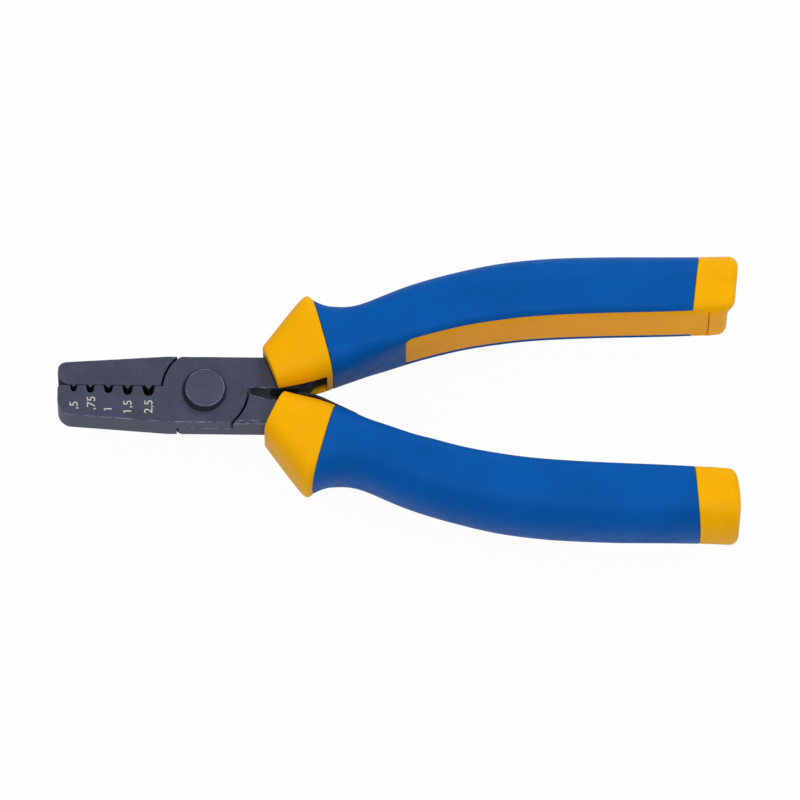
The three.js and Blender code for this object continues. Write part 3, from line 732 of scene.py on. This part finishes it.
def along(points, x):
    """Smooth values at x through points, without overshoot, level beyond the ends."""
    px, pv = np.array(points, float).T
    rise = np.diff(pv) / np.diff(px)
    before, after = np.concatenate([rise[:1], rise]), np.concatenate([rise, rise[-1:]])
    product = before * after
    slope = np.where(product > 0, 2 * product / np.where(product > 0, before + after, 1), 0)
    x = np.clip(np.asarray(x, float), px[0], px[-1])
    i = np.clip(np.searchsorted(px, x, side="right") - 1, 0, len(px) - 2)
    width = px[i + 1] - px[i]
    t = (x - px[i]) / width
    bend = width * t * (1 - t) * (slope[i] * (1 - t) - slope[i + 1] * t)
    return pv[i] + (pv[i + 1] - pv[i]) * t * t * (3 - 2 * t) + bend


def eased_along(points, x):
    """Values along points, averaged over a short reach, so that they bend evenly."""
    shifts = np.linspace(-EASING_REACH, EASING_REACH, 7)
    return np.mean([along(points, np.asarray(x, float) + shift) for shift in shifts], axis=0)


def soft_lower(a, b, rounding):
    return (a + b - np.hypot(a - b, rounding)) / 2


def grip_section(x, prefix):
    """Middle and half height in Y, half thickness in Z of the grip's section at x, and share of its end's shift."""
    x = np.asarray(x, float)
    flare = NOSE["outer"] + (x - NOSE["reach"]) * FLARE_SLOPE
    outer_edge = np.where(x < 27, along(OUTER_EDGE, x), eased_along(OUTER_EDGE, x))
    outer = soft_lower(flare, outer_edge, FLARE_ROUNDING)
    inner = np.where(x < 20, along(INNER_EDGE, x), eased_along(INNER_EDGE, x))
    if prefix == "lower":
        outer = outer - along(LOWER_TRIM["outer"], x)
        inner = inner + along(LOWER_TRIM["inner"], x)
    ending = along([(CAP_FRONT["outer"], 0), (GRIP_END[prefix]["middle"], 1)], x)
    return (outer + inner) / 2, (outer - inner) / 2, along(HALF_THICKNESS, x), ending


def end_shift(offset, z, half_height, prefix, ending, stepping):
    """How far the skin near the grip's end moves along X, at an offset in Y and a height in Z from its middle."""
    end = GRIP_END[prefix]
    across = offset / half_height
    place = STEP_DIRECTION[0] * offset + STEP_DIRECTION[1] * z
    stepped = (1 - np.tanh((place - STEP_PLACE) / STEP_SOFTNESS)) / 2
    return ending * (end["lean"] * across - end["bow"] * across ** 2) - stepping * end["step"] * stepped


def grip_point(x, angle, prefix, inset=0.0):
    """Point of the grip's skin at x and an angle about its middle, 0 being the outer edge, drawn in by an inset."""
    middle, half_height, half_thickness, ending = grip_section(x, prefix)
    c, s = np.cos(angle), np.sin(angle)
    power = 2 / np.where(c > 0, along(OUTER_SQUARENESS, x), along(INNER_SQUARENESS, x))
    offset = (half_height - inset) * np.sign(c) * np.abs(c) ** power
    z = (half_thickness - inset) * np.sign(s) * np.abs(s) ** power
    stepping = np.interp(x, STEP_REACH, (0, 1))
    shift = end_shift(offset, z, half_height, prefix, ending, stepping)
    return np.stack(np.broadcast_arrays(x + shift, middle + offset, z), axis=-1)


def even_angles(x, first, last, count, prefix):
    """Angles from first up to last, without last, evenly spaced along the skin at x."""
    dense = np.linspace(first, last, 24 * count)
    steps = np.linalg.norm(np.diff(grip_point(x, dense, prefix), axis=0), axis=1)
    length = np.concatenate([[0], np.cumsum(steps)])
    return np.interp(np.linspace(0, length[-1], count + 1)[:-1], length, dense)


def lean_of(line):
    """Y of a line's end at the inner edge, and how far the line runs along X for each step in Y."""
    inner_y, outer_y = along(INNER_EDGE, line["inner"]), along(OUTER_EDGE, line["outer"])
    return inner_y, (line["outer"] - line["inner"]) / (outer_y - inner_y)


def crossing(line, angle, shift, prefix):
    """X at which the skin at an angle crosses a line that leans from the inner to the outer edge."""
    inner_y, lean = lean_of(line)
    x = np.full(np.shape(angle), (line["inner"] + line["outer"]) / 2, float)
    for _ in range(20):
        x = line["inner"] + shift + (grip_point(x, angle, prefix)[..., 1] - inner_y) * lean
    return x


def window_half(x, start, end, corner, grow):
    """Half width of the strip's window at x, with rounded corners at its two ends."""
    half = along(STRIP_HALF_WIDTHS, x) + grow
    for edge, toward in ((start, 1), (end, -1)):
        into = np.clip(toward * (x - edge), 0, corner)
        half = half - (corner - np.sqrt(np.maximum(corner ** 2 - (corner - into) ** 2, 0)))
    return half


def window_angle(x, half_width, inset=0.0):
    """Angle from the inner edge to where the skin is half_width away from the middle plane."""
    share = np.clip(half_width / (along(HALF_THICKNESS, x) - inset), 0, 0.999)
    return np.arcsin(share ** (along(INNER_SQUARENESS, x) / 2))


def rows_between(first, last, step, marks, corner):
    """Places along a grip from first to last, about a step apart, closer in the rounded corners at the marks."""
    places = {first, last}
    knots = sorted({first, last, *[m for m, _ in marks], *[m + t * corner for m, t in marks]})
    for a, b in zip(knots, knots[1:]):
        steps = max(int(round((b - a) / step)), 1)
        curved = [m for m, t in marks if {round(a, 6), round(b, 6)} == {round(m, 6), round(m + t * corner, 6)}]
        if curved:
            turns = [math.pi / 2 * k / 7 for k in range(8)]
            toward = 1 if curved[0] == a else -1
            places.update(curved[0] + toward * corner * (1 - math.cos(turn)) for turn in turns)
        else:
            places.update(a + (b - a) * k / steps for k in range(steps + 1))
    ordered = sorted(places)
    return [p for i, p in enumerate(ordered) if i == 0 or p - ordered[i - 1] > 1e-6]


def skin_patch(prefix, rows, x_at, closed_end=None):
    """Open patch of the grip's skin, from rows of places and the x of a row at given angles, without the window."""
    seam, lip, start, end, corner = rim_sizes()
    positions, faces = [], []
    columns = OUTER_COLUMNS + INNER_COLUMNS
    for row in rows:
        gap = float(window_angle(row, window_half(row, start, end, corner, lip + seam)))
        outer = even_angles(row, gap - math.pi, math.pi - gap, OUTER_COLUMNS, prefix)
        inner = even_angles(row, math.pi - gap, math.pi + gap, INNER_COLUMNS, prefix)
        angle = np.concatenate([outer, inner])
        positions.append(grip_point(x_at(row, angle), angle, prefix))
    if closed_end:
        positions.extend(closed_end(positions[-1]))
    for r in range(len(positions) - 1):
        opened = r < len(rows) - 1 and start - 1e-6 < rows[r] and rows[r + 1] < end + 1e-6
        faces += quads(r, columns, OUTER_COLUMNS if opened else columns)
    points = np.concatenate(positions)
    if closed_end:
        points = np.concatenate([points, [positions[-1].mean(axis=0)]])
        last = (len(positions) - 1) * columns
        faces += [(last + k, last + (k + 1) % columns, len(points) - 1) for k in range(columns)]
    return points, faces


def shell(points, faces, lip, wall, prefix):
    """Closed shell from an open patch, in its place: rims rolled over by a lip, walls inward and an inner skin."""
    lip_steps = 4
    edited = bmesh.new()
    corners = [edited.verts.new(p) for p in points]
    for face in faces:
        edited.faces.new([corners[i] for i in face])
    loose = [v for v in edited.verts if not v.link_faces]
    bmesh.ops.delete(edited, geom=loose, context="VERTS")
    edited.normal_update()
    skin = list(edited.verts)
    normals = {v: v.normal.copy() for v in skin}
    outer_faces = [list(f.verts) for f in edited.faces]
    rims = [loop for f in edited.faces for loop in f.loops if loop.edge.is_boundary]
    follows = {loop.vert: loop.link_loop_next.vert for loop in rims}
    leads = {after: before for before, after in follows.items()}
    ring = {v: v for v in follows}
    for k in range(1, lip_steps + 2):
        turn = math.pi / 2 * min(k, lip_steps) / lip_steps
        next_ring = {}
        for v in follows:
            ahead = (follows[v].co - v.co).normalized()
            behind = (v.co - leads[v].co).normalized()
            outward = (ahead + behind).normalized().cross(normals[v]).normalized()
            drop = lip * (1 - math.cos(turn)) if k <= lip_steps else wall
            miter = 1 / max(math.sqrt((1 + max(ahead.dot(behind), -0.5)) / 2), 0.6)
            next_ring[v] = edited.verts.new(v.co + outward * (lip * math.sin(turn) * miter) - normals[v] * drop)
        for v, after in follows.items():
            edited.faces.new([ring[after], ring[v], next_ring[v], next_ring[after]])
        ring = next_ring
    inner = {v: edited.verts.new(v.co - normals[v] * wall) for v in skin}
    for verts in outer_faces:
        edited.faces.new([inner[v] for v in reversed(verts)])
    for v, after in follows.items():
        edited.faces.new([ring[after], ring[v], inner[v], inner[after]])
    bmesh.ops.recalc_face_normals(edited, faces=edited.faces)
    mesh = bpy.data.meshes.new("shell")
    edited.to_mesh(mesh)
    edited.free()
    return in_place(smooth_shading(mesh, 60), prefix)


def in_place(mesh, prefix):
    """Mesh in millimetres about the upper grip's place, brought to the frame: the lower one is turned over about X."""
    turn = Matrix.Scale(MM, 4)
    if prefix == "lower":
        set_back = bpy.context.scene.pliers_grips.set_back
        turn = Matrix.Translation((set_back, 0, 0)) @ Matrix.Rotation(math.pi, 4, "X") @ turn
    mesh.transform(Matrix.Translation((0, 0, JOINT_LEVEL)) @ turn)
    return mesh


def rim_sizes():
    """Seam, lip and the start, end and corner of the window that a cover and cap leave open for the strip."""
    grips = bpy.context.scene.pliers_grips
    seam, lip = grips.seam / MM, grips.lip / MM
    return seam, lip, STRIP_START - lip - seam, STRIP_END + lip + seam, STRIP_CORNER + lip


def cover_mesh(prefix):
    grips = bpy.context.scene.pliers_grips
    seam, lip, start, _, corner = rim_sizes()
    first, last = COLLAR_REAR["inner"], CAP_FRONT["inner"]
    rows = rows_between(first, last, grips.row_step / MM, [(start, 1)], corner)

    def x_at(row, angle):
        front = crossing(COLLAR_REAR, angle, seam + lip, prefix)
        rear = crossing(CAP_FRONT, angle, -seam - lip, prefix)
        return front + (rear - front) * (row - first) / (last - first)

    return shell(*skin_patch(prefix, rows, x_at), lip, grips.wall / MM, prefix)


def cap_mesh(prefix):
    seam, lip, _, end, corner = rim_sizes()
    rounding = bpy.context.scene.pliers_grips.end_round / MM
    first, last = CAP_FRONT["inner"], GRIP_END[prefix]["middle"] - rounding
    rows = rows_between(first, last, CAP_ROW_STEP, [(end, -1)], corner)

    def x_at(row, angle):
        front = crossing(CAP_FRONT, angle, seam + lip, prefix)
        return front + (last - front) * (row - first) / (last - first)

    def closed_end(rim):
        """Rings from the rim over the rounding, and then across the end towards its middle."""
        middle_y, half_height, half_thickness, ending = grip_section(last, prefix)
        middle = np.array([last, middle_y, 0])
        turns = [math.pi / 2 * k / 8 for k in range(1, 9)]
        shrinks = [(1 - math.cos(turn), math.sin(turn), 1) for turn in turns]
        shrinks += [(1, 1, 1 - k / 20) for k in range(1, 20)]
        rings = []
        for inset, rise, share in shrinks:
            shape = np.array([1, 1 - rounding * inset / half_height, 1 - rounding * inset / half_thickness])
            ring = middle + (rim - middle) * shape * share
            offset, z = ((rim - middle) * share)[:, 1:].T
            shift = end_shift(offset, z, half_height, prefix, ending + (1 - ending) * rise, 1)
            ring[:, 0] = last + rounding * rise + shift
            rings.append(ring)
        return rings

    return shell(*skin_patch(prefix, rows, x_at, closed_end), lip, HARD_WALL, prefix)


def strip_mesh(prefix):
    grips = bpy.context.scene.pliers_grips
    lip, recess = grips.lip / MM, grips.recess / MM
    start, end, corner = STRIP_START + lip, STRIP_END - lip, STRIP_CORNER - lip
    rows = rows_between(start, end, grips.row_step / MM, [(start, 1), (end, -1)], corner)
    positions, faces = [], []
    for row in rows:
        gap = window_angle(row, window_half(row, start, end, corner, -lip), recess)
        angle = np.linspace(math.pi - gap, math.pi + gap, INNER_COLUMNS + 1)
        positions.append(grip_point(row, angle, prefix, recess))
    for r in range(len(rows) - 1):
        for k in range(INNER_COLUMNS):
            a = r * (INNER_COLUMNS + 1) + k
            faces.append((a, a + 1, a + INNER_COLUMNS + 2, a + INNER_COLUMNS + 1))
    return shell(np.concatenate(positions), faces, lip, HARD_WALL, prefix)


def loft(places, sides, prefix):
    """Closed loft of the grip's skin through places."""
    angle = np.linspace(0, 2 * math.pi, sides + 1)[:-1]
    return closed_rings(np.concatenate([grip_point(x, angle, prefix) for x in places]), sides)


def prism(outline, low, high):
    """Closed prism over an outline in X and Y."""
    return closed_rings([(x, y, z) for z in (low, high) for x, y in outline], len(outline))


def joined_cut(mesh, cutters):
    """Mesh without what the cutters take away."""
    holders = [in_scene("cutter", cutter) for cutter in cutters]
    steps = [("BOOLEAN", {"operation": "DIFFERENCE", "object": h, "solver": "EXACT"}) for h in holders]
    result = finished_mesh(mesh, *steps)
    for holder in holders:
        bpy.data.objects.remove(holder)
    return result


def rounded_corner(corner, before, after, radius, steps):
    """Arc that rounds an outline's corner, given the directions from it to the points before and after it."""
    before, after = (np.array(way) / math.hypot(*way) for way in (before, after))
    half = math.acos(before @ after) / 2
    middle = corner + (before + after) / np.linalg.norm(before + after) * radius / math.sin(half)
    first, last = (math.atan2(*(corner + way * radius / math.tan(half) - middle)[::-1]) for way in (before, after))
    turn = (last - first + math.pi) % (2 * math.pi) - math.pi
    angles = first + turn * np.linspace(0, 1, steps + 1)
    return [tuple(middle + radius * np.array([math.cos(a), math.sin(a)])) for a in angles]


def collar_mesh(prefix):
    """Flared collar with its slanted front, the hollow for the lever's root and the slot for the leaf."""
    grips = bpy.context.scene.pliers_grips
    far, reach, slope = 60, NOSE["reach"], FRONT_SLOPE[prefix]
    body = loft([reach + 0.5 * k for k in range(36)], 128, prefix)
    inner_y, lean = lean_of(COLLAR_REAR)
    rear_x = lambda y: COLLAR_REAR["inner"] - grips.seam / MM + (y - inner_y) * lean
    behind = prism([(rear_x(-far), -far), (far, -far), (far, far), (rear_x(far), far)], -far, far)
    on_front = lambda y: (reach + (NOSE["inner"] - y) / slope, y)
    front = [on_front(-far)]
    if prefix == "lower":
        corner, rise = on_front(float(along(INNER_EDGE, COLLAR_CORNER["x"]))), COLLAR_CORNER["slope"]
        arc = rounded_corner(corner, (1, rise), (-1, slope), COLLAR_CORNER["radius"], 8)
        front += [(arc[0][0] + 6, arc[0][1] + 6 * rise - 4), *arc]
    front += rounded_corner((reach, NOSE["inner"]), (1, -slope), (0, 1), NOSE["radius"], 6)
    ahead = prism([*front, (reach, far), (-far, far), (-far, -far)], -far, far)
    inner, low = HOLLOW["inner"][prefix], HOLLOW["inner"][prefix] - HOLLOW["overlap"]
    root = [(0, low), (HOLLOW["end"], low), (HOLLOW["end"], HOLLOW["outer"]), (0, HOLLOW["outer"])]
    leaf = [(0, -far), (SLOT["end"], -far), (SLOT["end"], SLOT["outer"]), (SLOT["step"], SLOT["outer"]),
            (SLOT["step"], inner), (0, inner)]
    hollow, slot = prism(root, -HOLLOW["half"], HOLLOW["half"]), prism(leaf, -SLOT["half"], SLOT["half"])
    mesh = finished_mesh(
        joined_cut(body, [behind, ahead, hollow, slot]),
        ("REMESH", {"mode": "VOXEL", "voxel_size": grips.voxel / MM, "adaptivity": 0.0}),
        ("SMOOTH", {"factor": 0.5, "iterations": 12}))
    mesh = in_place(smooth_shading(mesh, 70), prefix)
    back = 0 if prefix == "upper" else grips.set_back / MM
    # Painted shade inside the hollow and slot, darker the deeper it lies past the inner edge
    corners = np.empty(3 * len(mesh.vertices))
    mesh.vertices.foreach_get("co", corners)
    x, y, z = corners.reshape(-1, 3).T / MM
    in_hollow = (np.abs(z - JOINT_LEVEL / MM) < HOLLOW_SHADE["half"]) & (np.abs(y) < HOLLOW_SHADE["outer"])
    depth = np.where(in_hollow, np.abs(y) - along(INNER_EDGE, x - back), 0)
    share = np.clip((depth - HOLLOW_SHADE["depth"]) / HOLLOW_SHADE["fade"], 0, 1)
    mesh.attributes.new("painted_shade", "FLOAT", "POINT").data.foreach_set("value", share.astype(np.float32))
    return mesh


class PLIERS_OT_grips(bpy.types.Operator):
    """Mould the collar, strip, cover and cap of both grips"""

    bl_idname = "pliers.grips"
    bl_label = "Grips"

    def execute(self, context):
        for prefix, body in (("upper", "front_half"), ("lower", "rear_half")):
            new_piece(f"{prefix}_collar", collar_mesh(prefix), "hard_yellow", body, [f"{prefix}_grip_core"])
            new_piece(f"{prefix}_strip", strip_mesh(prefix), "hard_yellow", body)
            new_piece(f"{prefix}_cover", cover_mesh(prefix), "soft_blue", body, [f"{prefix}_grip_cover"])
            new_piece(f"{prefix}_cap", cap_mesh(prefix), "hard_yellow", body, [f"{prefix}_end_cap"])
        return {"FINISHED"}


# Size marks

# Each figure's text, the X of its baseline and the Y where it ends, in millimetres
MARKS = [
    (",5", -26.95, -2.84), (",75", -23.28, -1.69), ("1", -19.73, -3.87), ("1,5", -15.55, -2.49), ("2,5", -11.11, -2.38),
]
# The flag of each figure 1: where its stroke's top lies, and the flag's corners about that place
FLAG_PLACES = [(-21.58, -4.24), (-17.4, -4.72)]
FLAG_CORNERS = [(0, -0.14), (0.27, -0.14), (0.52, -0.55), (0.3, -0.66)]
# How tall the font's figures are for a size of 1
FIGURE_HEIGHT = 0.73


def joined(tree, parts):
    joint = tree.nodes.new("GeometryNodeJoinGeometry")
    for part in parts:
        tree.links.new(part, joint.inputs["Geometry"])
    return joint.outputs["Geometry"]


def marks_tree(material):
    """Node tree that sets each size beside its nest, read towards the other jaw, as a thin layer of paint."""
    tree, source, inputs = new_tree("Size marks", dict.fromkeys(("Size", "Spacing", "Proud"), "Float"), "Marks")
    outlines = []
    for figures, baseline, end in MARKS:
        text = add(tree, "GeometryNodeStringToCurves", {
            "String": figures, "Size": source["Size"], "Character Spacing": source["Spacing"]}, align_x="RIGHT")
        outlines.append(add(tree, "GeometryNodeTransform", {
            "Geometry": text["Curve Instances"], "Translation": (baseline, end, 0), "Rotation": (0, 0, math.pi / 2),
        })["Geometry"])
    for top, stroke in FLAG_PLACES:
        corners = {f"Point {k}": (top + x, stroke + y, 0) for k, (x, y) in enumerate(FLAG_CORNERS, 1)}
        outlines.append(add(tree, "GeometryNodeCurvePrimitiveQuadrilateral", corners, mode="POINTS")["Curve"])
    drawn = add(tree, "GeometryNodeRealizeInstances", {"Geometry": joined(tree, outlines)})["Geometry"]
    filled = add(tree, "GeometryNodeFillCurve", {"Curve": drawn})["Mesh"]
    upward = add(tree, "ShaderNodeCombineXYZ", {"Z": source["Proud"]})["Vector"]
    raised = add(tree, "GeometryNodeExtrudeMesh", {"Mesh": filled, "Offset": upward, "Individual": False})["Mesh"]
    underside = add(tree, "GeometryNodeFlipFaces", {"Mesh": filled})["Mesh"]
    scaled = add(tree, "GeometryNodeTransform", {
        "Geometry": joined(tree, [raised, underside]), "Translation": (0, 0, FACE_LEVEL), "Scale": (MM, MM, MM),
    })["Geometry"]
    finish_tree(tree, scaled, material)
    return tree, inputs


class PLIERS_OT_marks(bpy.types.Operator):
    """Paint the conductor sizes beside the nests"""

    bl_idname = "pliers.marks"
    bl_label = "Size marks"

    def execute(self, context):
        marks = context.scene.pliers_marks
        tree, inputs = marks_tree(pliers_material("mark_paint"))
        mesh = made_by_tree(bpy.data.meshes.new("marks"), tree, {
            inputs["Size"]: marks.height / MM / FIGURE_HEIGHT,
            inputs["Spacing"]: 1.0,
            inputs["Proud"]: marks.proud / MM,
        })
        new_piece("size_marks", faces_outward(mesh), "burnished_steel", "front_half", material="mark_paint")
        return {"FINISHED"}


# Stage, in metres

FLOOR_HALF = 6
FLOOR_GLOW = 0.96
WORLD_STRENGTH = 0.62
LAMP_SIZE = 0.4
LAMPS = {"window": ((0.5, 0.95, 0.85), 5.6), "overhead": ((0.0, -0.35, 1.25), 4.2)}
LAMP_AIM = Vector((0.041, 0, 0.006))
CAMERA = {"distance": 3.0, "view_width": 0.16985, "sensor": 36, "elevation": 73, "roll": 0.6}
CAMERA_AIM = Vector((0.04135, -0.0005, JOINT_LEVEL))


def stage_material():
    """Pale floor that keeps a soft shadow and looks plain white to the camera, in reflections and through glass."""
    material = bpy.data.materials.new("floor_white")
    material.use_nodes = True
    tree = material.node_tree
    shader = tree.nodes["Principled BSDF"]
    feed(tree, shader.inputs, {"Base Color": (0.74, 0.75, 0.78, 1), "Roughness": 0.9})
    glow = add(tree, "ShaderNodeEmission", {"Color": (1, 1, 1, 1), "Strength": 1})["Emission"]
    rays = add(tree, "ShaderNodeLightPath")
    seen = rays["Is Camera Ray"]
    for kind in ("Is Glossy Ray", "Is Transmission Ray"):
        seen = maths(tree, "MAXIMUM", seen, rays[kind])
    share = maths(tree, "MULTIPLY", seen, FLOOR_GLOW)
    mixed = add(tree, "ShaderNodeMixShader", {"Fac": share, 1: shader.outputs["BSDF"], 2: glow})["Shader"]
    tree.links.new(mixed, tree.nodes["Material Output"].inputs["Surface"])
    return material


class PLIERS_OT_stage(bpy.types.Operator):
    """Lay the floor, light it softly and set the camera"""

    bl_idname = "pliers.stage"
    bl_label = "Stage"

    def execute(self, context):
        scene = context.scene
        scene.view_settings.view_transform = "Standard"
        low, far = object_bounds()[0], FLOOR_HALF
        corners = [(-far, -far, low.z), (far, -far, low.z), (far, far, low.z), (-far, far, low.z)]
        floor = in_scene("floor", mesh_of(corners, [(0, 1, 2, 3)]))
        floor.data.materials.append(stage_material())
        floor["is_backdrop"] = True

        scene.world = bpy.data.worlds.new("soft light")
        scene.world.use_nodes = True
        tree = scene.world.node_tree
        feed(tree, tree.nodes["Background"].inputs, {"Color": (1, 1, 1, 1), "Strength": WORLD_STRENGTH})
        for name, (place, power) in LAMPS.items():
            light = bpy.data.lights.new(name, "AREA")
            light.size, light.energy = LAMP_SIZE, power
            lamp = in_scene(name, light)
            lamp.location = place
            lamp.rotation_mode = "QUATERNION"
            lamp.rotation_quaternion = (LAMP_AIM - Vector(place)).to_track_quat("-Z", "Y")

        lens = bpy.data.cameras.new("camera")
        lens.sensor_width = CAMERA["sensor"]
        lens.lens = CAMERA["sensor"] * CAMERA["distance"] / CAMERA["view_width"]
        lens.clip_end = 20
        camera = in_scene("camera", lens)
        tilt = Matrix.Rotation(math.radians(90 - CAMERA["elevation"]), 4, "X")
        roll = Matrix.Rotation(math.radians(CAMERA["roll"]), 4, "Z")
        back = Matrix.Translation((0, 0, CAMERA["distance"]))
        camera.matrix_world = Matrix.Translation(CAMERA_AIM) @ tilt @ roll @ back
        scene.camera = camera
        return {"FINISHED"}


STEPS = ["levers", "rivets", "leaf", "grips", "marks", "stage"]


class PLIERS_PT_panel(bpy.types.Panel):
    """Buttons for each group of pieces"""

    bl_idname = "PLIERS_PT_panel"
    bl_label = "Crimping pliers"
    bl_space_type = "VIEW_3D"
    bl_region_type = "UI"
    bl_category = "Pliers"

    def draw(self, context):
        for step in STEPS:
            self.layout.operator(f"pliers.{step}")


GROUPS = {
    "pliers_levers": PliersLeverSizes,
    "pliers_grips": PliersGripSizes,
    "pliers_marks": PliersMarkSizes,
    "pliers_colours": PliersColours,
}
CLASSES = [
    *GROUPS.values(), PLIERS_OT_levers, PLIERS_OT_rivets, PLIERS_OT_leaf, PLIERS_OT_grips, PLIERS_OT_marks,
    PLIERS_OT_stage, PLIERS_PT_panel,
]


def register():
    for each in CLASSES:
        bpy.utils.register_class(each)
    for name, group in GROUPS.items():
        setattr(bpy.types.Scene, name, bpy.props.PointerProperty(type=group))


def unregister():
    for name in GROUPS:
        delattr(bpy.types.Scene, name)
    for each in reversed(CLASSES):
        bpy.utils.unregister_class(each)


def main():
    register()
    for step in STEPS:
        getattr(bpy.ops.pliers, step)()


if __name__ == "__main__":
    main()
